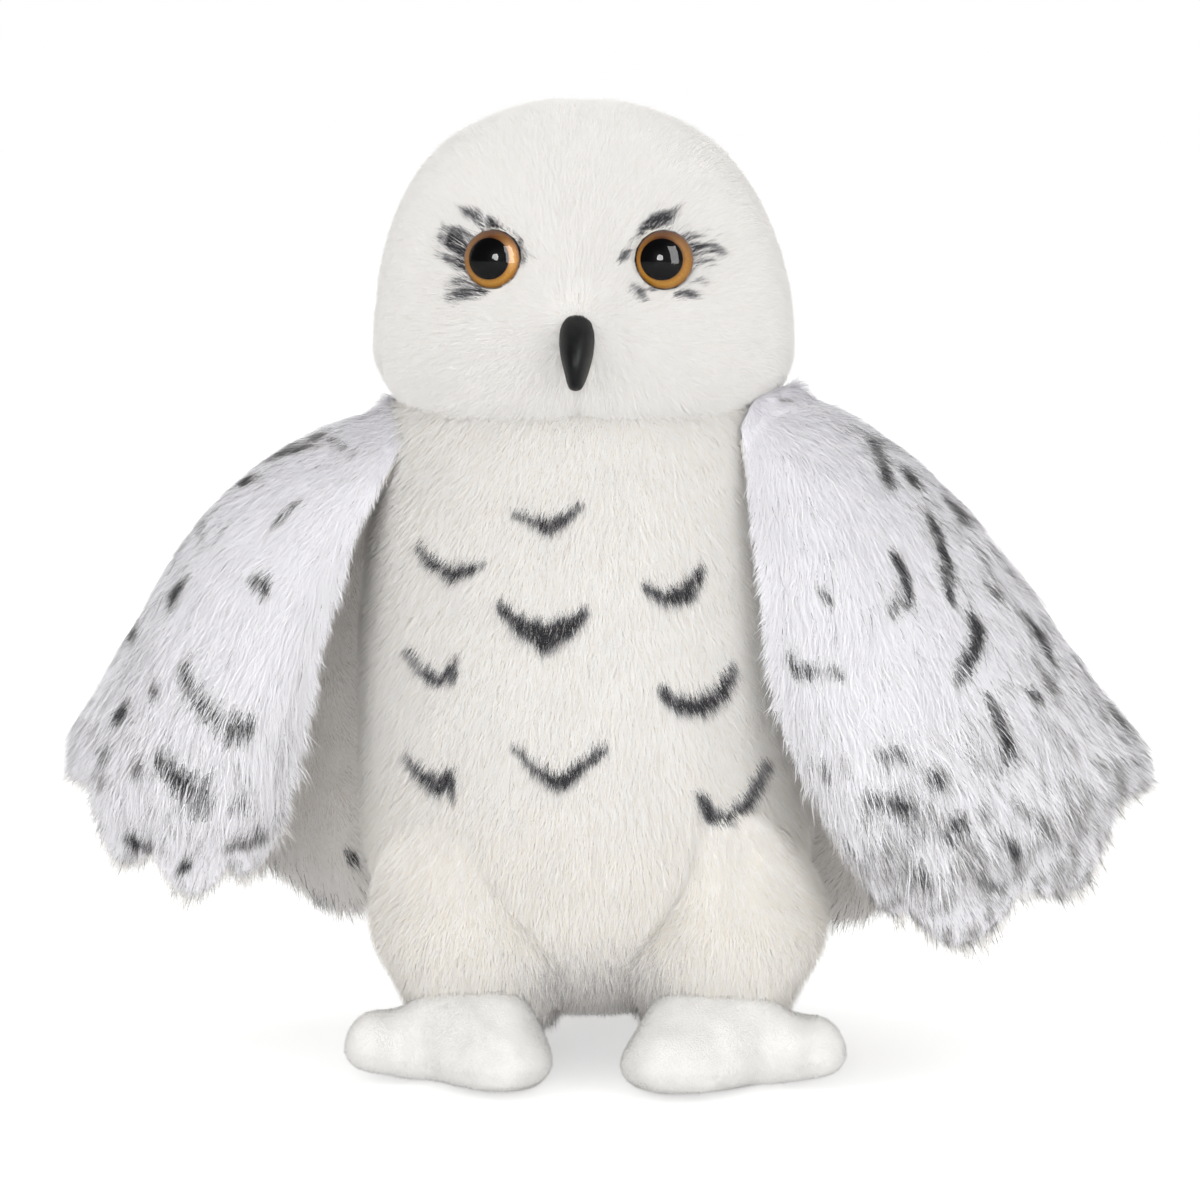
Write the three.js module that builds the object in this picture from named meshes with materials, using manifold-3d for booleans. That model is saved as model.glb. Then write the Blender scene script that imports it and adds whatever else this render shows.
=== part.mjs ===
// A white plush owl that stands on two lobed feet and its tail, with its wings held out like a cape.
// Millimetres, +Z up, face towards -Y. Sides are the viewer's: left is -X.
import * as THREE from "three";
import { mergeVertices } from "three/addons/utils/BufferGeometryUtils.js";
import Module from "manifold-3d";

const wasm = await Module();
wasm.setup();

// Driving dimensions
const gap = 0.3; // between pieces that touch
const coverPile = 3; // pile fabric with its backing, pressed
const overrun = 400; // how far cutting blocks reach

const head = { left: 66, right: 66, front: 58, back: 55, up: 75.5, down: 39, widestAbove: 17.5 };
const neckHeight = 207; // the seam between head and body, above the floor

const body = { halfWidth: 72.5, front: 61, back: 55, base: 13 };
const bodyProfileShares = [
  [0, 0], [0.42, 0.015], [0.66, 0.057], [0.86, 0.14], [0.98, 0.26], [1, 0.4],
  [1, 0.55], [0.985, 0.67], [0.955, 0.8], [0.905, 0.9], [0.83, 1], [0.6, 1.07],
];
const sideSeamBack = 8; // the side seams run this far behind the middle
const pelletLevel = 38; // top of the pellet bag, above the floor

const hip = { spacing: 80.5, shift: 5, forward: 30, height: 50, radius: 32, backSwing: 8 };
const ankle = { height: 27, radius: 21, tip: 10 }; // swing and tip in degrees
const legOpeningRadius = 12; // where the leg cover is left open, inside the body's socket

const foot = {
  length: 76, width: 66, heel: 22, toeThickness: 15, instep: 25, velour: 2, sole: 1.5,
  soleMargin: 2.2, soleShare: 0.86, bulgeShare: 0.18, sidePower: 0.55, topPower: 0.9,
};
// Outline of the right foot, outwards and forwards from the ankle, in shares of width and length
const footOutlineShares = [
  [0.36, -0.05], [0.46, 0.14], [0.51, 0.33], [0.45, 0.47], [0.31, 0.48], [0.17, 0.5], [0.03, 0.61],
  [-0.14, 0.69], [-0.33, 0.66], [-0.43, 0.5], [-0.44, 0.3], [-0.39, 0.08], [-0.26, -0.14], [-0.02, -0.24],
  [0.22, -0.18],
];

const wing = {
  rootOut: 56, rootHeight: 204, reach: 121, spread: 66, drop: 190,
  wadding: 3, pile: 3.4, lining: 1.8, scallops: 7, scallopDepth: 6, seamShare: 0.12,
};
// Four rows from shoulder to hem, each from the leading edge round to the rear edge,
// as [outwards, forwards, downwards] shares of reach, spread and drop
const leftWingShares = [
  [[0.02, 0.36, 0.06], [0.05, 0.21, 0.02], [0.06, 0.08, 0.01], [0.06, -0.06, 0], [0.04, -0.24, 0.01],
    [-0.02, -0.41, 0.03], [-0.1, -0.58, 0.07]],
  [[0.12, 0.45, 0.21], [0.22, 0.42, 0.17], [0.35, 0.27, 0.14], [0.47, 0, 0.14], [0.44, -0.33, 0.18],
    [0.34, -0.61, 0.24], [0.18, -0.79, 0.31]],
  [[0.24, 0.45, 0.46], [0.38, 0.55, 0.46], [0.6, 0.39, 0.43], [0.75, 0, 0.41], [0.72, -0.42, 0.48],
    [0.53, -0.79, 0.56], [0.25, -0.97, 0.62]],
  [[0.34, 0.36, 0.72], [0.49, 0.47, 0.81], [0.73, 0.36, 0.76], [0.92, -0.06, 0.62], [0.81, -0.56, 0.72],
    [0.5, -0.88, 0.87], [0.13, -1, 0.96]],
];
const rightWingShares = [
  [[-0.04, 0.53, 0.04], [0.01, 0.39, 0.01], [0.05, 0.2, 0], [0.06, 0, 0], [0.05, -0.21, 0.01],
    [-0.01, -0.39, 0.03], [-0.09, -0.58, 0.07]],
  [[-0.02, 0.67, 0.2], [0.13, 0.64, 0.15], [0.33, 0.39, 0.14], [0.5, 0.06, 0.16], [0.47, -0.3, 0.2],
    [0.35, -0.61, 0.25], [0.17, -0.82, 0.32]],
  [[0.05, 0.7, 0.47], [0.23, 0.79, 0.49], [0.55, 0.58, 0.45], [0.85, 0.09, 0.42], [0.8, -0.39, 0.49],
    [0.57, -0.76, 0.58], [0.24, -1, 0.64]],
  [[0.25, 0.64, 0.71], [0.45, 0.67, 0.86], [0.78, 0.5, 0.78], [1, 0.03, 0.59], [0.87, -0.54, 0.72],
    [0.53, -0.85, 0.87], [0.11, -1, 1]],
];

const tail = {
  rootBack: 40, rootHeight: 43, length: 56, tipHeight: 2.6, rootHalfWidth: 22, tipHalfWidth: 34,
  wadding: 4.5, pile: 2, lining: 1.5, roundness: 12, droopPower: 1.6, seamShare: 0.25,
};
const seamThicknessShare = 0.45; // of a cover's own thickness, where it is sewn down at an edge

const eye = {
  radius: 9, spacing: 51, aboveNeck: 46, sunk: 2.3, turnOut: 14, turnUp: 6, flange: 1.2,
  disc: 0.6, pupilRadius: 6.2, dome: 5.2, postRadius: 2.2, postLength: 14,
};
const beak = {
  tipAboveNeck: 8, height: 22, halfWidth: 5.4, sunk: 4.9, stand: 14, postRadius: 2, postLength: 12,
  postRise: 2, postRoot: 1, hook: 4, flatBackShare: 0.3,
};
// The beak's levels from tip to top, as shares of its height, its half width and its stand
const beakLevelShares = [
  [0.04, 0.11, 0.65], [0.16, 0.38, 0.83], [0.28, 0.62, 0.95], [0.39, 0.82, 1],
  [0.51, 0.95, 0.98], [0.63, 1, 0.9], [0.75, 0.93, 0.76], [0.86, 0.71, 0.55],
  [0.98, 0.23, 0.27],
];
const washer = { radius: 6, thickness: 1.3, depth: 7.6 };

// Colours of the real materials
const finishes = {
  pile: { color: "#efece7", roughness: 0.95, metalness: 0 },
  wingPile: { color: "#e9e6ec", roughness: 0.95, metalness: 0 },
  lining: { color: "#dcd7d2", roughness: 0.95, metalness: 0 },
  velour: { color: "#f1eeea", roughness: 0.9, metalness: 0 },
  stuffing: { color: "#f4f4f2", roughness: 1, metalness: 0 },
  pellets: { color: "#d9d4c8", roughness: 0.8, metalness: 0 },
  blackPlastic: { color: "#1b1b1c", roughness: 0.45, metalness: 0 },
  amber: { color: "#c07a1e", roughness: 0.3, metalness: 0.2 },
  lens: { color: "#2a1a0c", roughness: 0.05, metalness: 0 },
  washerPlastic: { color: "#e3e0da", roughness: 0.5, metalness: 0 },
};

// Solids: closed meshes as manifolds, with their faces turned outwards
function solid(geometry) {
  const bare = geometry.clone();
  bare.deleteAttribute("normal");
  bare.deleteAttribute("uv");
  const merged = mergeVertices(bare);
  const triVerts = new Uint32Array(merged.index.array);
  const vertProperties = new Float32Array(merged.attributes.position.array);
  if (signedVolume(vertProperties, triVerts) < 0) {
    for (let i = 0; i < triVerts.length; i += 3) {
      [triVerts[i], triVerts[i + 1]] = [triVerts[i + 1], triVerts[i]];
    }
  }
  return new wasm.Manifold(new wasm.Mesh({ numProp: 3, vertProperties, triVerts }));
}

function signedVolume(positions, triangles) {
  const corner = (i) => new THREE.Vector3().fromArray(positions, triangles[i] * 3);
  let total = 0;
  for (let i = 0; i < triangles.length; i += 3) {
    total += corner(i).dot(corner(i + 1).cross(corner(i + 2)));
  }
  return total;
}

// Everything on one side of a plane: axis "x", "y" or "z", from a place towards + or -
function halfSpace(axis, place, towards) {
  const block = new THREE.BoxGeometry(2 * overrun, 2 * overrun, 2 * overrun);
  const shift = new THREE.Vector3();
  shift[axis] = place + towards * overrun;
  return solid(block.translate(shift.x, shift.y, shift.z));
}

function eachVertex(geometry, move) {
  const place = geometry.attributes.position;
  const point = new THREE.Vector3();
  for (let i = 0; i < place.count; i++) {
    point.fromBufferAttribute(place, i);
    move(point);
    place.setXYZ(i, point.x, point.y, point.z);
  }
  return geometry;
}

// A lathe about +Z from [radius, height] pairs
function lathe(profile, segments) {
  const points = profile.map(([radius, height]) => new THREE.Vector2(radius, height));
  return new THREE.LatheGeometry(points, segments).rotateX(Math.PI / 2);
}

// A cylinder or cone along +Z
function round(radius, from, to, segments) {
  return lathe([[0, from], [radius, from], [radius, to], [0, to]], segments);
}

function arc(radius, centre, from, to, steps) {
  return Array.from({ length: steps + 1 }, (_, i) => {
    const angle = from + ((to - from) * i) / steps;
    return [radius * Math.cos(angle), centre + radius * Math.sin(angle)];
  });
}

// Head: an egg, wide and low at the cheeks, inset by the fabric's thickness for what it holds
function headEgg(inset, segments, rings) {
  const egg = new THREE.SphereGeometry(1, segments, rings).rotateX(Math.PI / 2);
  eachVertex(egg, (p) => {
    p.x *= (p.x < 0 ? head.left : head.right) - inset;
    p.y *= (p.y < 0 ? head.front : head.back) - inset;
    p.z *= (p.z < 0 ? head.down : head.up) - inset;
    p.z += neckHeight + head.widestAbove;
  });
  return solid(egg);
}

// Body: a pear shape that runs on a little into the neck before it is cut
function bodyPear(inset, segments, steps) {
  const spline = new THREE.SplineCurve(bodyProfileShares.map(([r, h]) => new THREE.Vector2(r, h)));
  const outline = spline.getPoints(steps).map((p) => [Math.max(p.x, 0), p.y]);
  const pear = lathe([...outline, [0, outline[outline.length - 1][1]]], segments);
  const height = neckHeight - body.base;
  eachVertex(pear, (p) => {
    p.x *= body.halfWidth - inset;
    p.y *= (p.y < 0 ? body.front : body.back) - inset;
    p.z = body.base + inset + p.z * (height - inset);
  });
  return solid(pear);
}

const aboveNeck = halfSpace("z", neckHeight + gap / 2, 1);
const belowNeck = halfSpace("z", neckHeight - gap / 2, -1);
const sides = { left: -1, right: 1 };
const hipX = (side) => hip.shift + (sides[side] * hip.spacing) / 2;

const legTaper = Math.asin((hip.radius - ankle.radius) / (hip.height - ankle.height));

// Leg: a hip ball that tapers to an ankle ball straight below it, from a start angle on the hip ball
function legProfile(hipRadius, ankleRadius, steps, start) {
  const taper = Math.asin((hipRadius - ankleRadius) / (hip.height - ankle.height));
  const profile = [
    ...arc(hipRadius, hip.height, start, -taper, steps),
    ...arc(ankleRadius, ankle.height, -taper, -Math.PI / 2, Math.round(steps / 2)),
  ];
  return profile.map(([radius, height]) => [Math.max(radius, 0), height]);
}

function legShape(side, profile, facets, turn = 0) {
  return solid(lathe(profile, facets).rotateZ(turn).translate(hipX(side), -hip.forward, 0));
}

function legPieces(side) {
  const wall = (inset, steps) => legProfile(
    hip.radius - inset, ankle.radius - inset, steps, Math.acos(legOpeningRadius / (hip.radius - inset)),
  );
  const cover = [...wall(0, 6), ...wall(coverPile, 4).reverse()];
  cover.push(cover[0]);
  const fillTop = hip.height + hip.radius - coverPile - gap;
  const stuffing = [[0, fillTop], ...wall(coverPile + gap, 4)];
  return {
    [`leg_cover_${side}`]: [legShape(side, cover, 16), "pile"],
    [`leg_stuffing_${side}`]: [legShape(side, stuffing, 16), "stuffing"],
  };
}

// The room that a leg needs while it turns crosswise, wider at the end that swings
function legRoom(side, hipSway, ankleSway) {
  const facets = 16;
  const steps = facets / 2;
  // Its flats, turned half a facet, touch the balls that it holds
  const halfFacet = Math.PI / facets;
  const facetDepth = 1 / Math.cos(halfFacet) / Math.cos((Math.PI / 2 + legTaper) / steps / 2);
  const hipRadius = (hip.radius + gap) * facetDepth + hipSway;
  const ankleRadius = (ankle.radius + gap) * facetDepth + ankleSway;
  return legShape(side, legProfile(hipRadius, ankleRadius, steps, Math.PI / 2), facets, halfFacet);
}

function sway(degrees) {
  return (hip.height - ankle.height) * Math.sin(THREE.MathUtils.degToRad(degrees));
}

// Foot: a low cushion over a lobed outline, rising to the instep round the ankle
function footShape(side, { inset, base, rings }) {
  const outline = new THREE.CatmullRomCurve3(
    footOutlineShares.map(([out, ahead]) => new THREE.Vector3(out * foot.width, -ahead * foot.length, 0)),
    true,
  ).getPoints(22).slice(0, -1);
  const crown = foot.instep - foot.toeThickness;
  const at = (share, height) => outline.map((p) => {
    const reach = Math.max(p.length() - inset, 0) * share;
    const flat = p.clone().setLength(reach);
    const rise = crown * Math.exp(-((reach / foot.heel) ** 2));
    return new THREE.Vector3(flat.x, flat.y, (foot.toeThickness + rise - inset) * height + base);
  });
  const levels = [at(foot.soleShare, 0)];
  for (let i = 0; i <= rings; i++) {
    const angle = (Math.PI / 2) * (foot.bulgeShare + ((1 - foot.bulgeShare) * i) / rings);
    levels.push(at(Math.cos(angle) ** foot.sidePower, Math.sin(angle) ** foot.topPower));
  }
  const geometry = stack(levels.slice(0, -1));
  eachVertex(geometry, (p) => {
    p.x = p.x * sides[side] + hipX(side);
    p.y -= hip.forward;
  });
  return solid(geometry);
}

// A closed skin over stacked rings of equal count, closed by a fan at each end
function stack(rings) {
  const count = rings[0].length;
  const middle = (ring) => ring.reduce((sum, p) => sum.add(p), new THREE.Vector3()).divideScalar(count);
  const points = [...rings.flat(), middle(rings[0]), middle(rings[rings.length - 1])];
  const [first, last] = [points.length - 2, points.length - 1];
  const index = [];
  for (let i = 0; i < count; i++) {
    const next = (i + 1) % count;
    index.push(first, next, i);
    index.push(last, (rings.length - 1) * count + i, (rings.length - 1) * count + next);
    for (let ring = 0; ring < rings.length - 1; ring++) {
      const [a, b] = [ring * count, (ring + 1) * count];
      index.push(a + i, a + next, b + next, a + i, b + next, b + i);
    }
  }
  const geometry = new THREE.BufferGeometry().setFromPoints(points);
  geometry.setIndex(index);
  return geometry;
}

function footPieces(side) {
  const ankleSocket = legRoom(side, sway(ankle.tip), 0);
  const hollow = footShape(side, { inset: foot.velour, base: foot.sole + gap, rings: 3 });
  const floorCut = halfSpace("z", 0, -1);
  const underside = halfSpace("z", foot.sole + gap, -1);
  const upper = footShape(side, { inset: 0, base: 0, rings: 3 });
  const sole = upper.intersect(halfSpace("z", foot.sole, -1)).subtract(floorCut);
  const trimmedSole = sole.intersect(footShape(side, { inset: foot.soleMargin, base: -foot.sole, rings: 3 }));
  return {
    [`foot_upper_${side}`]: [upper.subtract(hollow).subtract(underside).subtract(ankleSocket), "velour"],
    [`foot_sole_${side}`]: [trimmedSole, "velour"],
    [`foot_stuffing_${side}`]: [
      footShape(side, { inset: foot.velour + gap, base: foot.sole + gap, rings: 3 }).subtract(ankleSocket),
      "stuffing",
    ],
  };
}

// A quilt: two covers with wadding between them, laid along a curved middle surface.
// The wadding fades out towards the edges, where the covers are sewn together.
function quilt(surface, { across, along, core, outer, inner, edge, outward }) {
  const step = 1e-3;
  const fade = (t) => Math.sin((Math.PI / 2) * Math.min(1, Math.min(t, 1 - t) / edge));
  const normalAt = (u, v) => {
    const [u0, u1] = [Math.max(u - step, 0), Math.min(u + step, 1)];
    const [v0, v1] = [Math.max(v - step, 0), Math.min(v + step, 1)];
    const alongU = surface(u1, v).sub(surface(u0, v));
    return alongU.cross(surface(u, v1).sub(surface(u, v0))).normalize().multiplyScalar(outward);
  };
  const bunched = (share) => (1 - Math.cos(Math.PI * share)) / 2; // closer rows near both ends
  const layer = (low, high, trim) => {
    const side = (height) => {
      const points = [];
      for (let j = trim; j <= along - trim; j++) {
        for (let i = trim; i <= across - trim; i++) {
          const [u, v] = [i / across, bunched(j / along)];
          points.push(surface(u, v).addScaledVector(normalAt(u, v), height(fade(u) * fade(v))));
        }
      }
      return points;
    };
    return slab(side(low), side(high), across - 2 * trim, along - 2 * trim);
  };
  const pressed = (full) => seamThicknessShare + (1 - seamThicknessShare) * full;
  const seat = gap / 2;
  return {
    outer: layer((f) => core * f + seat, (f) => core * f + seat + outer * pressed(f), 0),
    wadding: layer((f) => gap - core * f, (f) => core * f - gap, 1),
    inner: layer((f) => -core * f - seat - inner * pressed(f), (f) => -core * f - seat, 0),
  };
}

// A closed slab between two grids of points
function slab(low, high, columns, rows) {
  const width = columns + 1;
  const points = [...low, ...high];
  const index = [];
  const quad = (a, b, c, d) => index.push(a, b, c, a, c, d);
  for (let j = 0; j < rows; j++) {
    for (let i = 0; i < columns; i++) {
      const a = j * width + i;
      quad(a, a + width, a + width + 1, a + 1);
      quad(a + low.length, a + 1 + low.length, a + width + 1 + low.length, a + width + low.length);
    }
  }
  const rim = [];
  for (let i = 0; i < columns; i++) rim.push(i);
  for (let j = 0; j < rows; j++) rim.push(j * width + columns);
  for (let i = columns; i > 0; i--) rim.push(rows * width + i);
  for (let j = rows; j > 0; j--) rim.push(j * width);
  rim.forEach((a, k) => {
    const b = rim[(k + 1) % rim.length];
    quad(a, b, b + low.length, a + low.length);
  });
  const geometry = new THREE.BufferGeometry().setFromPoints(points);
  geometry.setIndex(index);
  return solid(geometry);
}

// Wing: a cape that hangs from the shoulder and goes round from its leading edge to behind the body
function wingSurface(side, shares) {
  const columns = shares[0].map((_, i) => new THREE.CatmullRomCurve3(shares.map((row) => {
    const [out, ahead, down] = row[i];
    return new THREE.Vector3(
      sides[side] * (wing.rootOut + out * wing.reach),
      -ahead * wing.spread,
      wing.rootHeight - down * wing.drop,
    );
  })));
  return (u, v) => {
    const lobe = Math.abs(Math.sin(Math.PI * wing.scallops * u));
    const hem = 1 - (wing.scallopDepth / wing.drop) * (1 - lobe);
    return new THREE.CatmullRomCurve3(columns.map((column) => column.getPoint(v * hem))).getPoint(u);
  };
}

function wingPieces(side, shares) {
  const layers = quilt(wingSurface(side, shares), {
    across: wing.scallops * 4, along: 5, core: wing.wadding, outer: wing.pile, inner: wing.lining,
    edge: wing.seamShare, outward: -sides[side],
  });
  const kept = bodyPear(-gap, 24, 14).add(headEgg(-gap, 24, 12));
  return {
    [`wing_outer_panel_${side}`]: [layers.outer.subtract(kept), "wingPile"],
    [`wing_wadding_${side}`]: [layers.wadding.subtract(kept), "stuffing"],
    [`wing_lining_${side}`]: [layers.inner.subtract(kept), "lining"],
  };
}

// Tail: a firm fan-shaped flap from the lower back down to the floor
function tailSurface(u, v) {
  const across = 2 * u - 1;
  const halfWidth = tail.rootHalfWidth + (tail.tipHalfWidth - tail.rootHalfWidth) * v;
  const back = tail.rootBack + tail.length * v - tail.roundness * across ** 2 * v;
  const drop = (tail.rootHeight - tail.tipHeight) * (1 - (1 - v) ** tail.droopPower);
  return new THREE.Vector3(hip.shift * (1 - v) + across * halfWidth, back, tail.rootHeight - drop);
}

function tailPieces() {
  const layers = quilt(tailSurface, {
    across: 8, along: 5, core: tail.wadding, outer: tail.pile, inner: tail.lining,
    edge: tail.seamShare, outward: 1,
  });
  const kept = bodyPear(-gap, 24, 14).add(halfSpace("z", 0, -1));
  return {
    tail_upper_panel: [layers.outer.subtract(kept), "pile"],
    tail_wadding: [layers.wadding.subtract(kept), "stuffing"],
    tail_under_panel: [layers.inner.subtract(kept), "pile"],
  };
}

// How far forward the head's cover lies at a place across the face and above the floor
function faceForward(across, height) {
  const rise = (height - neckHeight - head.widestAbove) / head.up;
  return head.front * Math.sqrt(Math.max(0, 1 - (across / head.right) ** 2 - rise ** 2));
}

// Places a shape made about +Z on the head, looking out along the eye or the beak
function onFace(geometry, x, forward, height, out, up) {
  const aim = new THREE.Object3D();
  aim.rotation.order = "ZXY";
  aim.rotation.set(Math.PI / 2 - THREE.MathUtils.degToRad(up), 0, THREE.MathUtils.degToRad(out));
  aim.position.set(x, -forward, height);
  aim.updateMatrix();
  return geometry.clone().applyMatrix4(aim.matrix);
}

const washerRing = () => lathe([
  [washer.radius, -washer.depth], [washer.radius, -washer.depth + washer.thickness],
  [eye.postRadius + gap, -washer.depth + washer.thickness], [eye.postRadius + gap, -washer.depth],
  [washer.radius, -washer.depth],
], 12);

function atEye(side, geometry) {
  const [across, height] = [eye.spacing / 2, neckHeight + eye.aboveNeck];
  const seat = faceForward(across, height) - eye.sunk;
  return solid(onFace(geometry, sides[side] * across, seat, height, sides[side] * eye.turnOut, eye.turnUp));
}

function eyePieces(side) {
  const put = (geometry) => atEye(side, geometry);
  const discFrom = eye.flange + gap;
  const discTo = discFrom + eye.disc;
  const domeFrom = discTo + gap;
  const domeRadius = (eye.radius ** 2 + eye.dome ** 2) / (2 * eye.dome);
  const edgeAngle = Math.asin((domeRadius - eye.dome) / domeRadius);
  const dome = arc(domeRadius, domeFrom + eye.dome - domeRadius, edgeAngle, Math.PI / 2, 5);
  const back = [
    [0, -eye.postLength], [eye.postRadius, -eye.postLength], [eye.postRadius, 0], [eye.radius, 0],
    [eye.radius, eye.flange], [0, eye.flange],
  ];
  const ring = [
    [eye.radius, discFrom], [eye.radius, discTo], [eye.pupilRadius + gap, discTo],
    [eye.pupilRadius + gap, discFrom], [eye.radius, discFrom],
  ];
  return {
    [`eye_lens_${side}`]: [put(lathe([[0, domeFrom], ...dome], 20)), "lens"],
    [`eye_pupil_${side}`]: [put(round(eye.pupilRadius, discFrom, discTo, 16)), "blackPlastic"],
    [`eye_iris_${side}`]: [put(lathe(ring, 20)), "amber"],
    [`eye_back_${side}`]: [put(lathe(back, 16)), "blackPlastic"],
    [`eye_washer_${side}`]: [put(washerRing()), "washerPlastic"],
  };
}

// Room for an eye or the beak: its face outside the cover, its post through the cover
// and its washer in a pocket of the stuffing
function postRoom(put, faceRadius, postRadius, postLength) {
  const face = put(round(faceRadius + gap, -gap, overrun / 4, 20));
  const post = put(round(postRadius + gap, -postLength - gap, overrun / 4, 12));
  const pocket = put(round(washer.radius + gap, -washer.depth - gap, overrun / 4, 12));
  return { cover: face.add(post), stuffing: face.add(post).add(pocket) };
}

const beakTip = neckHeight + beak.tipAboveNeck;
const beakMiddle = beakTip + beak.height / 2 + beak.postRise;
const beakSeat = faceForward(0, beakMiddle) - beak.sunk;

// Beak: a hooked drop, rounded above and pointed below, on a post
function beakPieces() {
  const around = 12;
  const levels = beakLevelShares.map(([riseShare, widthShare, standShare]) => {
    const [width, stand] = [widthShare * beak.halfWidth, standShare * beak.stand];
    const seat = beakSeat + beak.hook * (1 - riseShare);
    return Array.from({ length: around }, (_, k) => {
      const angle = (2 * Math.PI * k) / around;
      const ahead = Math.cos(angle) * (Math.cos(angle) > 0 ? stand : width * beak.flatBackShare);
      return new THREE.Vector3(width * Math.sin(angle), -(seat + ahead), beakTip + riseShare * beak.height);
    });
  });
  const put = (geometry) => solid(onFace(geometry, 0, beakSeat, beakMiddle, 0, 0));
  const post = put(round(beak.postRadius, -beak.postLength, beak.postRoot, 12));
  return {
    beak: [solid(stack(levels)).add(post), "blackPlastic"],
    beak_washer: [put(washerRing()), "washerPlastic"],
  };
}

// Head: a cover of three panels, cut at the crown and side seams, round one piece of stuffing
function headPieces() {
  const rooms = Object.keys(sides).map((side) => postRoom(
    (geometry) => atEye(side, geometry), eye.radius, eye.postRadius, eye.postLength,
  ));
  rooms.push(postRoom(
    (geometry) => solid(onFace(geometry, 0, beakSeat, beakMiddle, 0, 0)),
    beak.halfWidth, beak.postRadius, beak.postLength,
  ));
  const coverRoom = rooms.reduce((sum, room) => sum.add(room.cover), beakPieces().beak[0]);
  const stuffingRoom = rooms.reduce((sum, room) => sum.add(room.stuffing), beakPieces().beak[0]);
  const cover = headEgg(0, 24, 12).subtract(headEgg(coverPile, 16, 8)).intersect(aboveNeck)
    .subtract(coverRoom);
  const front = cover.intersect(halfSpace("y", sideSeamBack - gap / 2, -1));
  return {
    head_face_panel_left: [front.intersect(halfSpace("x", -gap / 2, -1)), "pile"],
    head_face_panel_right: [front.intersect(halfSpace("x", gap / 2, 1)), "pile"],
    head_back_panel: [cover.intersect(halfSpace("y", sideSeamBack + gap / 2, 1)), "pile"],
    head_stuffing: [
      headEgg(coverPile + gap, 16, 8).intersect(aboveNeck).subtract(stuffingRoom), "stuffing",
    ],
  };
}

// Body: a belly panel and two back panels round stuffing, over a bag of pellets at the bottom
function bodyPieces() {
  const hips = Object.keys(sides)
    .map((side) => legRoom(side, 0, sway(hip.backSwing)))
    .reduce((sum, room) => sum.add(room));
  const cover = bodyPear(0, 24, 14).subtract(bodyPear(coverPile, 16, 10)).intersect(belowNeck)
    .subtract(hips);
  const back = cover.intersect(halfSpace("y", sideSeamBack + gap / 2, 1));
  const inside = bodyPear(coverPile + gap, 16, 10).intersect(belowNeck).subtract(hips);
  return {
    body_belly_panel: [cover.intersect(halfSpace("y", sideSeamBack - gap / 2, -1)), "pile"],
    body_back_panel_left: [back.intersect(halfSpace("x", -gap / 2, -1)), "pile"],
    body_back_panel_right: [back.intersect(halfSpace("x", gap / 2, 1)), "pile"],
    body_stuffing: [inside.intersect(halfSpace("z", pelletLevel + gap / 2, 1)), "stuffing"],
    pellet_bag: [inside.intersect(halfSpace("z", pelletLevel - gap / 2, -1)), "pellets"],
  };
}

const owl = new THREE.Group();
owl.name = "plush_owl";

function addPieces(pieces) {
  for (const [name, [shape, finish]] of Object.entries(pieces)) {
    const { numProp, vertProperties, triVerts } = shape.getMesh();
    const positions = new Float32Array((vertProperties.length / numProp) * 3);
    for (let i = 0; i < positions.length / 3; i++) {
      positions.set(vertProperties.subarray(i * numProp, i * numProp + 3), i * 3);
    }
    const geometry = new THREE.BufferGeometry();
    geometry.setAttribute("position", new THREE.BufferAttribute(positions, 3));
    geometry.setIndex(new THREE.BufferAttribute(new Uint32Array(triVerts), 1));
    geometry.computeVertexNormals();
    const mesh = new THREE.Mesh(geometry, new THREE.MeshStandardMaterial(finishes[finish]));
    mesh.name = name;
    owl.add(mesh);
  }
}

addPieces(headPieces());
addPieces(beakPieces());
addPieces(bodyPieces());
addPieces(tailPieces());
addPieces(wingPieces("left", leftWingShares));
addPieces(wingPieces("right", rightWingShares));
for (const side of Object.keys(sides)) {
  addPieces(eyePieces(side));
  addPieces(legPieces(side));
  addPieces(footPieces(side));
}

// The origin is below the middle of the whole owl, on the floor
const reach = new THREE.Box3().setFromObject(owl);
const middle = reach.getCenter(new THREE.Vector3());
owl.position.set(-middle.x, -middle.y, -reach.min.z);
owl.updateMatrixWorld(true);

export default owl;
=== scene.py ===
import math

import bpy
import numpy as np
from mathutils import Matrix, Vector


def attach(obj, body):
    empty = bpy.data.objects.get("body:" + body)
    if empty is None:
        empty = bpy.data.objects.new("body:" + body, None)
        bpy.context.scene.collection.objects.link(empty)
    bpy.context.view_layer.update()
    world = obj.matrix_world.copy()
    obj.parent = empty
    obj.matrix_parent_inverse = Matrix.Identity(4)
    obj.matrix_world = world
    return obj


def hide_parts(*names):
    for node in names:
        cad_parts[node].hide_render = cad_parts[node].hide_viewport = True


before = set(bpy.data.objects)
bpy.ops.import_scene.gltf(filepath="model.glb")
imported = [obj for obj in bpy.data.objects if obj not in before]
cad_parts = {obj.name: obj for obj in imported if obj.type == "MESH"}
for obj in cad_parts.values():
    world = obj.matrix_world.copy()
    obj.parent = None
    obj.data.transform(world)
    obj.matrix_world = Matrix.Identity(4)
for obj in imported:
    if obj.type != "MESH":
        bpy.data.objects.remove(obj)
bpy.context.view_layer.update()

# A white plush owl. Sizes are in millimetres here and become metres when a mesh is made.
# OFFSET is from the middle of the owl's body, where its shapes are written, to the part's origin.
MM = 0.001
OFFSET = np.array([-4.827, -7.385, 0.0])
SIDES = {"left": -1, "right": 1}


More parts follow.
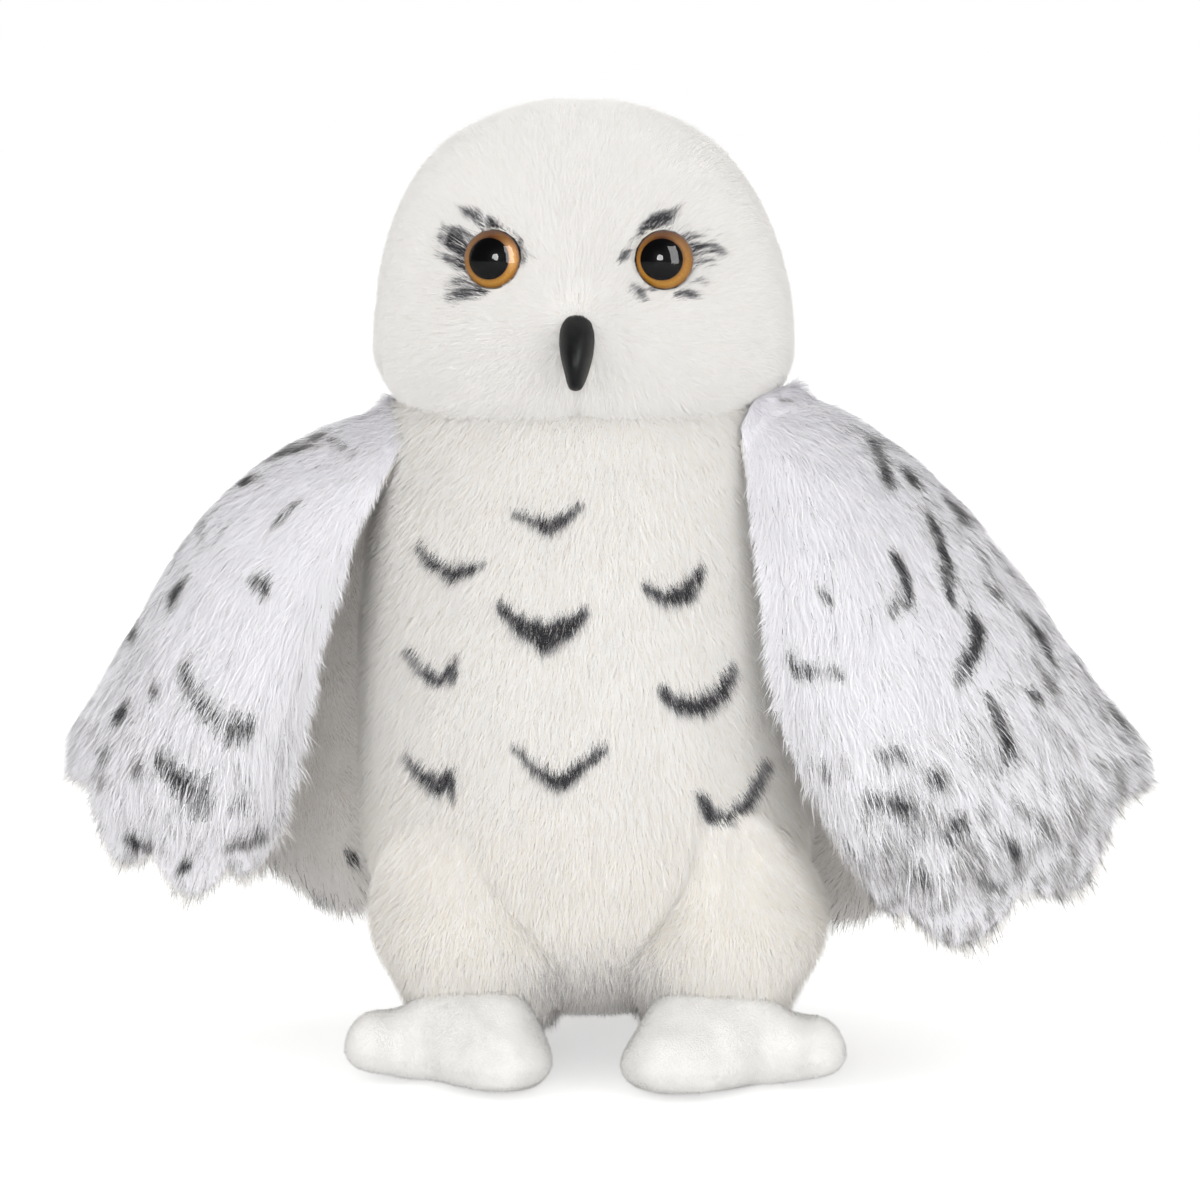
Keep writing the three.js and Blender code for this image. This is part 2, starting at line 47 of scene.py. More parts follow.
# ---------------------------------------------------------------- camera at the photograph's angle
# Pixels across the frame, the camera's turn, tilt and distance, and what a pixel measures at the owl
PHOTO_WIDTH = 1200
TURN, TILT, FAR, PIXEL = math.radians(3), math.radians(8), 1500.0, 0.313
AIM = np.array([4.0, 0.0, 143.3])
TO_EYE = np.array([math.sin(TURN) * math.cos(TILT), -math.cos(TURN) * math.cos(TILT), math.sin(TILT)])
ACROSS = np.array([math.cos(TURN), math.sin(TURN), 0.0])
UPWARD = np.cross(TO_EYE, ACROSS)


def photo_place(points):
    """The photograph's pixel for each point."""
    away = points - AIM
    scale = FAR / (FAR - away @ TO_EYE) / PIXEL
    middle = PHOTO_WIDTH / 2
    return np.stack([middle + (away @ ACROSS) * scale, middle - (away @ UPWARD) * scale], axis=1)


bpy.ops.object.camera_add(location=(AIM + OFFSET + TO_EYE * FAR) * MM)
camera = bpy.context.object
camera.rotation_euler = Vector(-TO_EYE).to_track_quat("-Z", "Y").to_euler()
camera.data.lens = camera.data.sensor_width * FAR / (PIXEL * PHOTO_WIDTH)
camera.data.clip_end = 20
bpy.context.scene.camera = camera


# ---------------------------------------------------------------- materials
def linear(colour):
    """An sRGB hex colour as the linear RGBA that shaders take."""
    parts = [int(colour[i:i + 2], 16) / 255 for i in (1, 3, 5)]
    return [c / 12.92 if c <= 0.04045 else ((c + 0.055) / 1.055) ** 2.4 for c in parts] + [1.0]


def add(tree, kind, settings=None, **inputs):
    """Adds a node with its settings; an input is a value or the socket that feeds it."""
    made = tree.nodes.new(kind)
    for name, value in (settings or {}).items():
        setattr(made, name, value)
    for name, value in inputs.items():
        socket = made.inputs[int(name[1:]) if name[1:].isdigit() else name.replace("_", " ")]
        if isinstance(value, bpy.types.NodeSocket):
            tree.links.new(value, socket)
        else:
            socket.default_value = value
    return made


def material(name, colour, roughness, **more):
    """A plain surface of one colour, with its shader's own sockets set directly."""
    made = bpy.data.materials.new(name)
    made.use_nodes = True
    shader = made.node_tree.nodes["Principled BSDF"]
    shader.inputs["Base Color"].default_value = linear(colour)
    shader.inputs["Roughness"].default_value = roughness
    for socket, value in more.items():
        shader.inputs[socket.replace("_", " ")].default_value = value
    made.diffuse_color = linear(colour)
    return made


def colour_stops(ramp, *stops):
    """Sets a colour ramp's stops, each a position and an sRGB hex colour."""
    elements = ramp.color_ramp.elements
    for element, (position, colour) in zip(elements, (stops[0], stops[-1])):
        element.position, element.color = position, linear(colour)
    for position, colour in stops[1:-1]:
        elements.new(position).color = linear(colour)
    return ramp.outputs["Color"]


def mottled(made, low, high, size_mm, bump, bump_mm):
    """Varies a material between two colours over a real size, and roughens it with a finer relief."""
    tree = made.node_tree
    shader = tree.nodes["Principled BSDF"]
    place = add(tree, "ShaderNodeTexCoord").outputs["Object"]
    noise = add(tree, "ShaderNodeTexNoise", Vector=place, Scale=1000 / size_mm, Detail=3.0)
    ramp = add(tree, "ShaderNodeValToRGB", Fac=noise.outputs["Fac"])
    tree.links.new(colour_stops(ramp, (0.35, low), (0.65, high)), shader.inputs["Base Color"])
    fine = add(tree, "ShaderNodeTexNoise", Vector=place, Scale=1000 / bump_mm, Detail=2.0)
    relief = add(tree, "ShaderNodeBump", Height=fine.outputs["Fac"], Strength=bump, Distance=0.0004)
    tree.links.new(relief.outputs["Normal"], shader.inputs["Normal"])
    return made


# Acrylic and polyester pile fibres: each fibre is dyed one flat colour, so the pattern of the fur
# comes from which fibres lie where. Airbrushed ink darkens the fibres in steps.
def fibres(sheen=0.15, **colours):
    return [material(name, colour, 0.75, Specular_IOR_Level=0.2, Sheen_Weight=sheen, Sheen_Roughness=0.5)
            for name, colour in colours.items()]


INK_LEVELS = [0.08, 0.2, 0.34, 0.5, 0.66, 0.82]
inked = fibres(ink_1="#dedbd9", ink_2="#bdbbba", ink_3="#979697", ink_4="#717073", ink_5="#4d4c50",
               ink_6="#333236")
# The head's whites are a darker, slightly less warm copy of the body's: painted shade that tones down the
# stronger light on the head
head_fibres = fibres(head_bright="#f5f4f2", head_white="#f4f2ef", head_ivory="#f2efea") + inked
body_fibres = fibres(pile_bright="#fcfbf9", pile_white="#fbf9f6", pile_ivory="#f8f3ea") + inked
wing_fibres = fibres(wing_bright="#fcfbfd", wing_white="#faf9fc", wing_cool="#f5f4f8") + inked
lining_fibres = fibres(lining_bright="#f6f4f2", lining_beige="#f2efec", lining_shade="#edeae6") + inked
# Velour stands densely upright, so its rims shine softly
velour_fibres = fibres(0.7, velour_bright="#f3f2f1", velour_white="#f0efed", velour_shade="#edebe8")

# Knitted polyester backing that the pile stands on: a soft uneven white
pile_backing = mottled(material("knit_backing_white", "#f2eee8", 0.95), "#ece7df", "#f8f5f0", 6, 0.4, 0.8)
wing_backing = mottled(material("knit_backing_cool", "#eceaf0", 0.95), "#e0dde4", "#f3f1f6", 6, 0.4, 0.8)
lining_backing = mottled(material("knit_backing_beige", "#dad5d0", 0.95), "#d0cac4", "#e2ddd8", 7, 0.4, 0.8)
velour_cloth = mottled(material("velour_cloth", "#ebeae8", 0.9, Sheen_Weight=0.3), "#e6e4e1", "#f0efec",
                       9, 0.5, 0.6)
# Polyester fibrefill: loose white wadding with soft lumps
fibrefill = mottled(material("fibrefill", "#f2f2f0", 1.0), "#e6e6e3", "#f8f8f6", 12, 0.8, 3)
# Plain woven cotton over plastic pellets of about 4 mm
pellet_cloth = mottled(material("pellet_cotton", "#d9d4c8", 0.9), "#cfc9bb", "#e0dbd0", 10, 1.0, 4)
# Moulded ABS, matt from a textured mould
beak_plastic = mottled(material("matt_black_abs", "#111213", 0.45, Specular_IOR_Level=0.14), "#0d0e0f",
                       "#151617", 3, 0.25, 0.4)
# Injection moulded black acrylic behind the eye, glossy
eye_black = material("black_acrylic", "#040405", 0.3, Specular_IOR_Level=0.05)
# Nylon lock washer
nylon = mottled(material("natural_nylon", "#e2dfd8", 0.5), "#dcd8cf", "#e8e5df", 4, 0.2, 0.5)


def amber_paint():
    """Metallic amber paint on the back of the eye, with fine streaks that run out from the pupil."""
    made = material("metallic_amber_paint", "#d08f2c", 0.45, Metallic=0.1)
    tree = made.node_tree
    place = add(tree, "ShaderNodeUVMap", {"uv_map": "ring"}).outputs["UV"]
    split = add(tree, "ShaderNodeSeparateXYZ", Vector=place)
    tone = add(tree, "ShaderNodeValToRGB", Fac=split.outputs["Y"])
    tone = colour_stops(tone, (0.1, "#a87014"), (0.25, "#e8a82c"), (0.5, "#f8c040"), (0.8, "#e8a628"),
                        (0.94, "#be821c"), (1.0, "#745016"))
    turn = add(tree, "ShaderNodeMapping", Vector=place, Scale=(110.0, 12.0, 1.0)).outputs["Vector"]
    streaks = add(tree, "ShaderNodeTexNoise", {"noise_dimensions": "2D"}, Vector=turn, Scale=1.0, Detail=3.0)
    grain = add(tree, "ShaderNodeValToRGB", Fac=streaks.outputs["Fac"])
    grain = colour_stops(grain, (0.3, "#a08050"), (0.7, "#ffffff"))
    multiply = {"data_type": "RGBA", "blend_type": "MULTIPLY"}
    both = add(tree, "ShaderNodeMix", multiply, _0=0.8, _6=tone, _7=grain)
    # Painted shade and light: the ring's upper half is darker, as shaded by the lens's rim, and its lower half
    # lighter, where the lens gathers the light
    depth = add(tree, "ShaderNodeValToRGB", Fac=split.outputs["X"])
    depth = colour_stops(depth, (0.0, "#e8e0d8"), (0.25, "#8c6c3c"), (0.5, "#dccfb4"), (0.75, "#ffffff"),
                         (1.0, "#e8e0d8"))
    painted_shade_mix = add(tree, "ShaderNodeMix", multiply, _0=1.0, _6=both.outputs[2], _7=depth)
    tree.links.new(painted_shade_mix.outputs[2], tree.nodes["Principled BSDF"].inputs["Base Color"])
    return made


def clear_acrylic():
    """A clear domed lens: what is behind shows straight through, and the surface gives the gloss."""
    made = bpy.data.materials.new("clear_acrylic")
    made.use_nodes = True
    tree = made.node_tree
    tree.nodes.remove(tree.nodes["Principled BSDF"])
    clear = add(tree, "ShaderNodeBsdfTransparent", Color=(1, 1, 1, 1))
    gloss = add(tree, "ShaderNodeBsdfGlossy", Roughness=0.02)
    facing = add(tree, "ShaderNodeFresnel", IOR=1.33)
    both = add(tree, "ShaderNodeMixShader", Fac=facing.outputs[0], _1=clear.outputs[0], _2=gloss.outputs[0])
    tree.links.new(both.outputs[0], tree.nodes["Material Output"].inputs["Surface"])
    return made


# ---------------------------------------------------------------- meshes
BACKING = 0.8  # the thickness of the knitted backing
THIN = 0.01  # the radius that stands for a point at a lathed piece's end


def mesh_piece(name, points, faces, materials):
    """A piece from its points in millimetres and its faces."""
    mesh = bpy.data.meshes.new(name)
    mesh.from_pydata(((np.asarray(points) + OFFSET) * MM).tolist(), [], [list(map(int, f)) for f in faces])
    mesh.update()
    piece = bpy.data.objects.new(name, mesh)
    bpy.context.scene.collection.objects.link(piece)
    for m in materials:
        mesh.materials.append(m)
    return piece


def smooth(piece):
    for face in piece.data.polygons:
        face.use_smooth = True
    return piece


def copy_of(piece, name):
    """A copy of a piece with a mesh of its own."""
    made = piece.copy()
    made.data = piece.data.copy()
    bpy.context.scene.collection.objects.link(made)
    made.name = made.data.name = name
    return made


def select_only(piece):
    bpy.ops.object.select_all(action="DESELECT")
    bpy.context.view_layer.objects.active = piece
    piece.select_set(True)


def begin(piece, action="SELECT"):
    """Makes a piece the only selected one and opens it for editing, with all or nothing of it selected."""
    select_only(piece)
    bpy.ops.object.mode_set(mode="EDIT")
    bpy.ops.mesh.select_all(action=action)


def end():
    bpy.ops.object.mode_set(mode="OBJECT")


def face_outwards(piece, merge_mm=0.0):
    """Merges what lies closer than a length, and turns every face outwards."""
    begin(piece)
    if merge_mm:
        bpy.ops.mesh.remove_doubles(threshold=merge_mm * MM)
    bpy.ops.mesh.normals_make_consistent(inside=False)
    end()
    return piece


def stretch(piece, test, factors):
    """Scales the vertices whose place passes the test, about the origin and in edit mode."""
    bpy.ops.mesh.select_mode(type="VERT")
    bpy.ops.mesh.select_all(action="DESELECT")
    end()
    for v in piece.data.vertices:
        v.select = bool(test(v.co))
    bpy.ops.object.mode_set(mode="EDIT")
    bpy.ops.transform.resize(value=factors, center_override=(0, 0, 0))


def settle(piece, name, materials):
    """Names a finished primitive, gives it its materials and puts its place in its mesh."""
    select_only(piece)
    bpy.ops.object.transform_apply(location=True, rotation=True, scale=True)
    piece.name = piece.data.name = name
    piece.data.materials.clear()
    for m in materials:
        piece.data.materials.append(m)
    return piece


def modify(piece, kind, **settings):
    """Adds a modifier and applies it."""
    made = piece.modifiers.new(kind.lower(), kind)
    for name, value in settings.items():
        setattr(made, name, value)
    select_only(piece)
    bpy.ops.object.modifier_apply(modifier=made.name)
    return piece


def dress(piece, body, slot, *nodes, fill=None):
    """Puts a finished piece on its body, in place of the nodes that it stands for. The fill is not used."""
    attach(piece, body)
    if nodes:
        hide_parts(*nodes)


def fill_soft(piece, node, body, slot="stuffing"):
    """Smooths a soft inner filling and puts it on its body, in place of its node."""
    dress(smooth(piece), body, slot, node, fill=0.5)


def finish_panel(panel, node, body, pile, slot="white_pile"):
    """Gives a panel the thickness of its backing and puts panel and pile on their body."""
    modify(panel, "SOLIDIFY", thickness=BACKING * MM, offset=-1.0)
    dress(smooth(panel), body, slot, node, fill=0.8)
    dress(pile, body, slot)


def lathe(name, outline, sides, materials):
    """Turns [radius, height] pairs about +Z, by extruding a circle ring by ring. Both ends are closed."""
    bpy.ops.object.select_all(action="DESELECT")
    radius, height = outline[0]
    start = (0, 0, height * MM)
    bpy.ops.mesh.primitive_circle_add(vertices=sides, radius=max(radius, THIN) * MM, location=start)
    piece = bpy.context.object
    bpy.ops.object.mode_set(mode="EDIT")
    bpy.ops.mesh.select_all(action="SELECT")
    bpy.ops.mesh.edge_face_add()
    for (last_radius, last_height), (radius, height) in zip(outline, outline[1:]):
        bpy.ops.mesh.extrude_region_move(TRANSFORM_OT_translate={"value": (0, 0, (height - last_height) * MM)})
        factor = max(radius, THIN) / max(last_radius, THIN)
        bpy.ops.transform.resize(value=(factor, factor, 1))
    bpy.ops.mesh.select_all(action="SELECT")
    bpy.ops.mesh.normals_make_consistent(inside=False)
    end()
    return smooth(settle(piece, name, materials))


def place(piece, reshape, unit=MM):
    """Moves a piece's points, given and returned in millimetres about the middle of the owl's body."""
    at = np.empty(len(piece.data.vertices) * 3)
    piece.data.vertices.foreach_get("co", at)
    at = reshape(at.reshape(-1, 3) / unit)
    piece.data.vertices.foreach_set("co", ((at + OFFSET) * MM).ravel())
    piece.data.update()
    return piece


def cut_panel(shell, name, cuts):
    """A panel of a shell: what is left of a copy after cuts, each of which is at a place and drops what lies
    ahead of it in a direction."""
    panel = copy_of(shell, name)
    for at, towards in cuts:
        begin(panel)
        bpy.ops.mesh.bisect(plane_co=(np.array(at) + OFFSET) * MM, plane_no=towards, clear_outer=True)
        end()
    return panel


# ---------------------------------------------------------------- pile
# Whole numbers that turn a place into a chance, the same in every run, and the largest 32-bit number
HASH = (73856093, 19349663, 83492791, 2654435761, 1274126177, 2246822519)
WORD = 0xFFFFFFFF
# How deep a fibre's root lies in the skin, how far its blade turns about its length, how far its
# shading leans back, and the shares of the three whites
ROOT_DEPTH, TWIST, LEAN_BACK, WHITES = 0.4, 0.35, 0.3, (0.4, 0.4, 0.2)


def wander(points, size, seed):
    """A smooth random field from -1 to 1 over space, with lumps of a given size in millimetres."""
    scaled = points / size
    cell = np.floor(scaled).astype(np.int64)
    part = scaled - cell
    part = part * part * (3 - 2 * part)
    total = np.zeros(len(points))
    for corner in range(8):
        ahead = np.array([corner & 1, corner >> 1 & 1, corner >> 2 & 1])
        at = cell + ahead
        h = (at[:, 0] * HASH[0] ^ at[:, 1] * HASH[1] ^ at[:, 2] * HASH[2] ^ seed * HASH[3]) & WORD
        for shift, factor in ((13, HASH[4]), (16, HASH[5])):
            h = ((h ^ (h >> shift)) * factor) & WORD
        total += np.prod(np.where(ahead, part, 1 - part), axis=1) * (h / 2**31 - 1)
    return total


def unit(vectors):
    return vectors / np.maximum(np.linalg.norm(vectors, axis=1, keepdims=True), 1e-9)


def step(low, high, values):
    """0 below low, 1 above high, and smooth between."""
    t = np.clip((values - low) / (high - low), 0, 1)
    return t * t * (3 - 2 * t)


def again(chance, prime=7919):
    """Another chance for each fibre, drawn from its first."""
    return (chance * prime) % 1


def uneven(rng, count, spread, low, high):
    """A factor for each fibre's length, about 1."""
    return (1 + spread * rng.normal(0, 1, count)).clip(low, high)


def corners_of(mesh, at):
    """The mesh's triangles as corner numbers. Blender's own order of points and faces changes from run to
    run, so faces are split from their lowest corner and put in order of place."""
    rank = np.argsort(np.lexsort(np.round(at, 3).T))
    corners = []
    for face in mesh.polygons:
        ring = list(face.vertices)
        low = min(range(len(ring)), key=lambda i: rank[ring[i]])
        ring = ring[low:] + ring[:low]
        corners += [(ring[0], b, c) for b, c in zip(ring[1:], ring[2:])]
    corners = np.array(corners)
    return corners[np.lexsort(rank[corners].T[::-1])]


def scatter(skin, count, rng, keep=None, extra=None):
    """Root places over a skin: (points, normals, values of extra), spread evenly by area."""
    mesh = skin.data
    at, normals = np.empty(len(mesh.vertices) * 3), np.empty(len(mesh.vertices) * 3)
    mesh.vertices.foreach_get("co", at)
    mesh.vertices.foreach_get("normal", normals)
    at, normals = at.reshape(-1, 3) / MM - OFFSET, normals.reshape(-1, 3)
    corners = corners_of(mesh, at)
    a, b, c = (at[corners[:, i]] for i in range(3))
    area = np.linalg.norm(np.cross(b - a, c - a), axis=1) / 2
    if keep is not None:
        area = area * keep((a + b + c) / 3)
    total = np.cumsum(area)
    chosen = np.searchsorted(total, (np.arange(count) + rng.random(count)) / count * total[-1])
    chosen = np.minimum(chosen, len(area) - 1)
    u, v = rng.random(count), rng.random(count)
    flip = u + v > 1
    u[flip], v[flip] = 1 - u[flip], 1 - v[flip]
    shares = np.stack([1 - u - v, u, v], axis=1)
    blend = lambda values: np.einsum("ij,ijk->ik", shares, values[corners[chosen]])
    return blend(at), unit(blend(normals)), None if extra is None else blend(extra)


def plant(name, roots, normals, flow, rng, length, width, lift, materials, shade=None, parts=1, droop=0.0,
          tuft=0.2, tuft_mm=4.0, stray=0.25, relief=0.12, warm_shade_share=0.0):
    """Fibres as thin tapered blades. Each leans along flow, lifts by an angle at its root and less at
    its tip, and gathers into tufts. shade(places, chance) gives how much ink each part of a fibre has,
    and cream is the share of fibres in the warmest white, which paints warm shade.
    The blades take the light as the surface that they stand on does, with a soft relief."""
    count = len(roots)
    flow = unit(flow - np.sum(flow * normals, axis=1, keepdims=True) * normals)
    side = np.cross(normals, flow)
    fine, broad = wander(roots, tuft_mm, 3), wander(roots, tuft_mm * 3.1, 4)
    turn = rng.normal(0, stray, count) + tuft * fine + 0.6 * tuft * broad
    lean = flow * np.cos(turn)[:, None] + side * np.sin(turn)[:, None]
    side = np.cross(normals, lean)
    rise = lift * (1 + 0.15 * wander(roots, tuft_mm * 1.3, 5)) + rng.normal(0, 0.08, count)
    spin = rng.normal(0, TWIST, count)
    blade = side * np.cos(spin)[:, None] + normals * np.sin(spin)[:, None]
    line = [roots - ROOT_DEPTH * normals]
    for k in range(parts):
        angle = np.clip(rise * (1 - droop * k / max(parts - 1, 1)), 0.02, 1.5)
        heading = lean * np.cos(angle)[:, None] + normals * np.sin(angle)[:, None]
        line.append(line[-1] + heading * (length / parts)[:, None])
    points, rows = [], []
    for k in range(parts):
        half = blade * (width * (1 - 0.7 * (k / parts) ** 1.5) / 2)
        points += [line[k] + half, line[k] - half]
        if k:
            rows += [(2 * k - 2, 2 * k - 1, 2 * k + 1), (2 * k - 2, 2 * k + 1, 2 * k)]
    points.append(line[parts])
    rows.append((2 * parts - 2, 2 * parts - 1, 2 * parts))
    each = len(points)
    places = np.stack(points, axis=1).reshape(-1, 3)
    faces = ((np.arange(count) * each)[:, None, None] + np.array(rows)[None]).reshape(-1, 3)
    tone = np.searchsorted(np.cumsum(WHITES)[:-1], rng.random(count))
    chance = rng.random(count)
    # Painted warm shade: this share of the fibres takes the warmest white
    tone = np.where(again(chance, 3571) < warm_shade_share, 2, tone)
    slots = []
    for k in range(parts):
        along = line[k] + (line[k + 1] - line[k]) * (0.7 if parts == 1 else 0.5)
        ink = shade(along, chance) if shade else np.zeros(count)
        level = np.searchsorted(INK_LEVELS, ink)
        slot = np.where(level == 0, tone, 2 + level).astype(np.int32)
        slots += [slot, slot] if k < parts - 1 else [slot]
    mesh = bpy.data.meshes.new(name)
    mesh.vertices.add(len(places))
    mesh.vertices.foreach_set("co", ((places + OFFSET) * MM).astype(np.float32).ravel())
    mesh.loops.add(faces.size)
    mesh.loops.foreach_set("vertex_index", faces.astype(np.int32).ravel())
    mesh.polygons.add(len(faces))
    mesh.polygons.foreach_set("loop_start", np.arange(0, faces.size, 3, dtype=np.int32))
    for m in materials:
        mesh.materials.append(m)
    mesh.polygons.foreach_set("material_index", np.stack(slots, axis=1).ravel().astype(np.int32))
    mesh.polygons.foreach_set("use_smooth", np.ones(len(faces), bool))
    mesh.update(calc_edges=True)
    mesh.validate()
    across = relief * (rng.normal(0, 0.5, count) + 1.5 * fine + 2 * broad)
    soft = normals - lean * LEAN_BACK + side * across[:, None]
    along = relief * (rng.normal(0, 0.5, count) + 2 * wander(roots, tuft_mm * 1.7, 6))
    soft = unit(soft - lean * along[:, None])
    mesh.normals_split_custom_set_from_vertices(np.repeat(soft, each, axis=0).astype(np.float32))
    piece = bpy.data.objects.new(name, mesh)
    bpy.context.scene.collection.objects.link(piece)
    return piece


# ---------------------------------------------------------------- airbrushed marks
# Each mark is its darkness, and then x, y and half width at the points of a line, in the photograph's pixels.
BELLY_MARKS = [
    (0.8, 514, 517, 2, 532, 524, 5, 549, 529, 8, 566, 520, 5, 580, 509, 4),
    (0.8, 416, 549, 3, 428, 564, 4, 451, 577, 6, 469, 572, 4, 482, 567, 2),
    (1.15, 500, 610, 5, 520, 628, 9, 546, 640, 17, 570, 628, 9, 584, 615, 4),
    (1.0, 646, 590, 3, 664, 600, 6, 682, 598, 9, 695, 585, 8, 702, 573, 6),
    (0.75, 405, 654, 3, 420, 672, 3, 438, 683, 5, 450, 678, 8, 454, 662, 6),
    (1.0, 664, 695, 7, 682, 708, 8, 704, 709, 8, 724, 694, 8, 734, 672, 6),
    (0.9, 404, 760, 3, 420, 778, 5, 438, 788, 9, 447, 780, 8, 453, 802, 3),
    (0.85, 514, 752, 3, 535, 772, 4, 558, 787, 7, 578, 772, 6, 602, 753, 5),
    (0.85, 703, 800, 6, 712, 818, 7, 730, 821, 6, 752, 802, 6, 768, 768, 6),
]
FACE_MARKS = [
    (1.05, 440, 236, 4, 452, 241, 9, 462, 248, 9), (0.6, 440, 258, 1, 452, 260, 4, 462, 268, 5),
    (0.8, 461, 236, 4, 460, 254, 4, 465, 274, 4), (0.9, 452, 204, 2, 474, 215, 4, 500, 229, 4),
    (0.5, 470, 205, 1, 492, 220, 3), (0.7, 422, 230, 1, 443, 228, 3, 464, 233, 5),
    (0.7, 425, 238, 1, 447, 241, 4), (0.4, 416, 222, 1, 436, 224, 2), (0.5, 428, 254, 1, 446, 254, 3),
    (0.4, 424, 246, 1, 440, 248, 2), (1.0, 441, 301, 2, 464, 293, 6, 486, 287, 4),
    (0.4, 436, 292, 1, 456, 288, 2), (0.7, 448, 284, 1, 466, 280, 4), (0.5, 444, 308, 1, 458, 300, 2),
    (0.6, 508, 229, 2, 521, 246, 3, 523, 262, 2), (0.3, 522, 252, 1, 534, 258, 1),
    (0.95, 641, 232, 3, 652, 222, 7, 667, 215, 7, 682, 206, 3), (0.35, 650, 212, 2, 664, 204, 2),
    (0.8, 636, 240, 3, 646, 230, 5, 656, 226, 4), (0.8, 672, 230, 2, 688, 236, 4, 699, 243, 4),
    (1.05, 692, 239, 5, 709, 247, 9, 727, 256, 4), (0.7, 694, 258, 3, 717, 262, 4),
    (0.45, 712, 216, 1, 744, 232, 2), (0.5, 704, 230, 2, 746, 239, 2), (0.4, 720, 244, 2, 742, 250, 1),
    (0.6, 636, 236, 2, 629, 246, 3, 621, 260, 2), (0.3, 618, 248, 1, 628, 244, 1),
    (0.35, 694, 276, 1, 708, 284, 1), (0.6, 676, 289, 1, 688, 293, 3, 700, 298, 2),
    (0.5, 630, 284, 1, 640, 293, 3, 646, 303, 1), (0.4, 646, 284, 2, 658, 290, 2),
]


def ink_of(marks, soft, core=0.55):
    """How dark the marks make a place in the photograph: a narrow dense core in a broad airbrushed
    cloud that fades out over soft pixels. It is a function of pixel places."""
    lines = [(np.array(line, float).reshape(-1, 3), dark) for dark, *line in marks]

    def ink(at):
        total = np.zeros(len(at))
        for points, dark in lines:
            low = points[:, :2].min(0) - 30
            high = points[:, :2].max(0) + 30
            near = np.flatnonzero(np.all((at > low) & (at < high), axis=1))
            if not len(near):
                continue
            here = at[near]
            best, middle = np.full(len(near), -1e9), np.zeros(len(near))
            for i, (a, b) in enumerate(zip(points, points[1:])):
                run = b[:2] - a[:2]
                t = np.clip(((here - a[:2]) @ run) / (run @ run), 0, 1)
                gap = np.linalg.norm(here - a[:2] - t[:, None] * run, axis=1)
                inside = (a[2] + (b[2] - a[2]) * t) * core - gap
                middle = np.where(inside > best, np.sin(math.pi * (i + t) / (len(points) - 1)), middle)
                best = np.maximum(best, inside)
            cloud = 0.42 * np.exp(-np.abs(np.minimum(best, 0) / soft) ** 1.5)
            here = dark * (0.6 + 0.4 * middle) * (cloud + 0.58 * step(-5, 2, best))
            total[near] = np.maximum(total[near], here)
        return total

    return ink


belly_ink, face_ink = ink_of(BELLY_MARKS, 11), ink_of(FACE_MARKS, 8, 0.5)

# ---------------------------------------------------------------- head
NECK = 207.0
HEAD = {"side": 66.0, "front": 58.0, "back": 55.0, "up": 75.5, "down": 39.0, "widest": 224.5, "full": 243.0}
PILE, HEAD_PILE = 3.0, 2.3  # how far the backing lies below the fur's outside
PILE_LENGTH = 5.2
EYE_HOLE, BEAK_HOLE = 9.4, (4.8, 10.0, 226.0)  # no pile: a radius, and half width, half height and middle
FACE_MIDDLE = np.array([-0.5, -53.0, 236.5])
EYE_PIXELS = (492, 258), (661, 261)
# Cuts that part a shell: each keeps the half or the end that it is named for
FRONT, BACK = ((0, 8, 0), (0, 1, 0)), ((0, 8, 0), (0, -1, 0))
LEFT, RIGHT = ((0, 0, 0), (1, 0, 0)), ((0, 0, 0), (-1, 0, 0))
ABOVE, BELOW = ((0, 0, NECK), (0, 0, -1)), ((0, 0, NECK), (0, 0, 1))
EYES = {side: np.array([sign * 25.5, -48.8, 253.0]) for side, sign in SIDES.items()}


def head_shell():
    bpy.ops.object.select_all(action="DESELECT")
    bpy.ops.mesh.primitive_uv_sphere_add(segments=112, ring_count=72, radius=1)
    shell = bpy.context.object
    bpy.ops.object.mode_set(mode="EDIT")
    bpy.ops.mesh.select_mode(type="VERT")
    stretch(shell, lambda p: p.z > 1e-4, (1, 1, HEAD["up"] - HEAD_PILE))
    stretch(shell, lambda p: p.z < -1e-4, (1, 1, HEAD["down"] - HEAD_PILE))
    stretch(shell, lambda p: p.y < -1e-4, (1, HEAD["front"] - HEAD_PILE, 1))
    stretch(shell, lambda p: p.y > 1e-4, (1, HEAD["back"] - HEAD_PILE, 1))
    stretch(shell, lambda p: True, (HEAD["side"] - HEAD_PILE, 1, 1))
    end()
    settle(shell, "head_shell", [pile_backing])

    def reshape(at):
        at[:, 2] += HEAD["widest"]
        # As on the real toy the stuffing isn't even: the head is a little fuller high on its left
        bearing = np.degrees(np.arctan2(at[:, 2] - HEAD["full"], at[:, 0]))
        fuller = 3.9 * np.exp(-(((bearing - 140) / 29) ** 2)) + 1.9 * np.exp(-(((bearing - 43) / 26) ** 2))
        fuller *= step(25, 60, np.hypot(at[:, 0], at[:, 2] - HEAD["full"]))
        at[:, 0] += fuller * np.cos(np.radians(bearing)) - 1.0
        at[:, 2] += fuller * np.sin(np.radians(bearing))
        # The pile parts over the seams: beak to chin, and over the crown
        below = step(0, 12, 219 - at[:, 2]) * (at[:, 1] < 0)
        crown = step(0, 30, at[:, 2] - 262)
        at[:, 1] += 1.6 * below * np.exp(-((at[:, 0] / 3.0) ** 2))
        at[:, 2] -= 0.8 * crown * np.exp(-((at[:, 0] / 4.0) ** 2))
        return at

    return smooth(place(shell, reshape, unit=1))


def head_flow(at):
    """Fur lies outwards from between the eyes on the face, and downwards behind."""
    out = unit(at - FACE_MIDDLE)
    behind = step(-42, 8, at[:, 1])[:, None]
    return out * (1 - behind) + np.array([0, 0.25, -1.0]) * behind


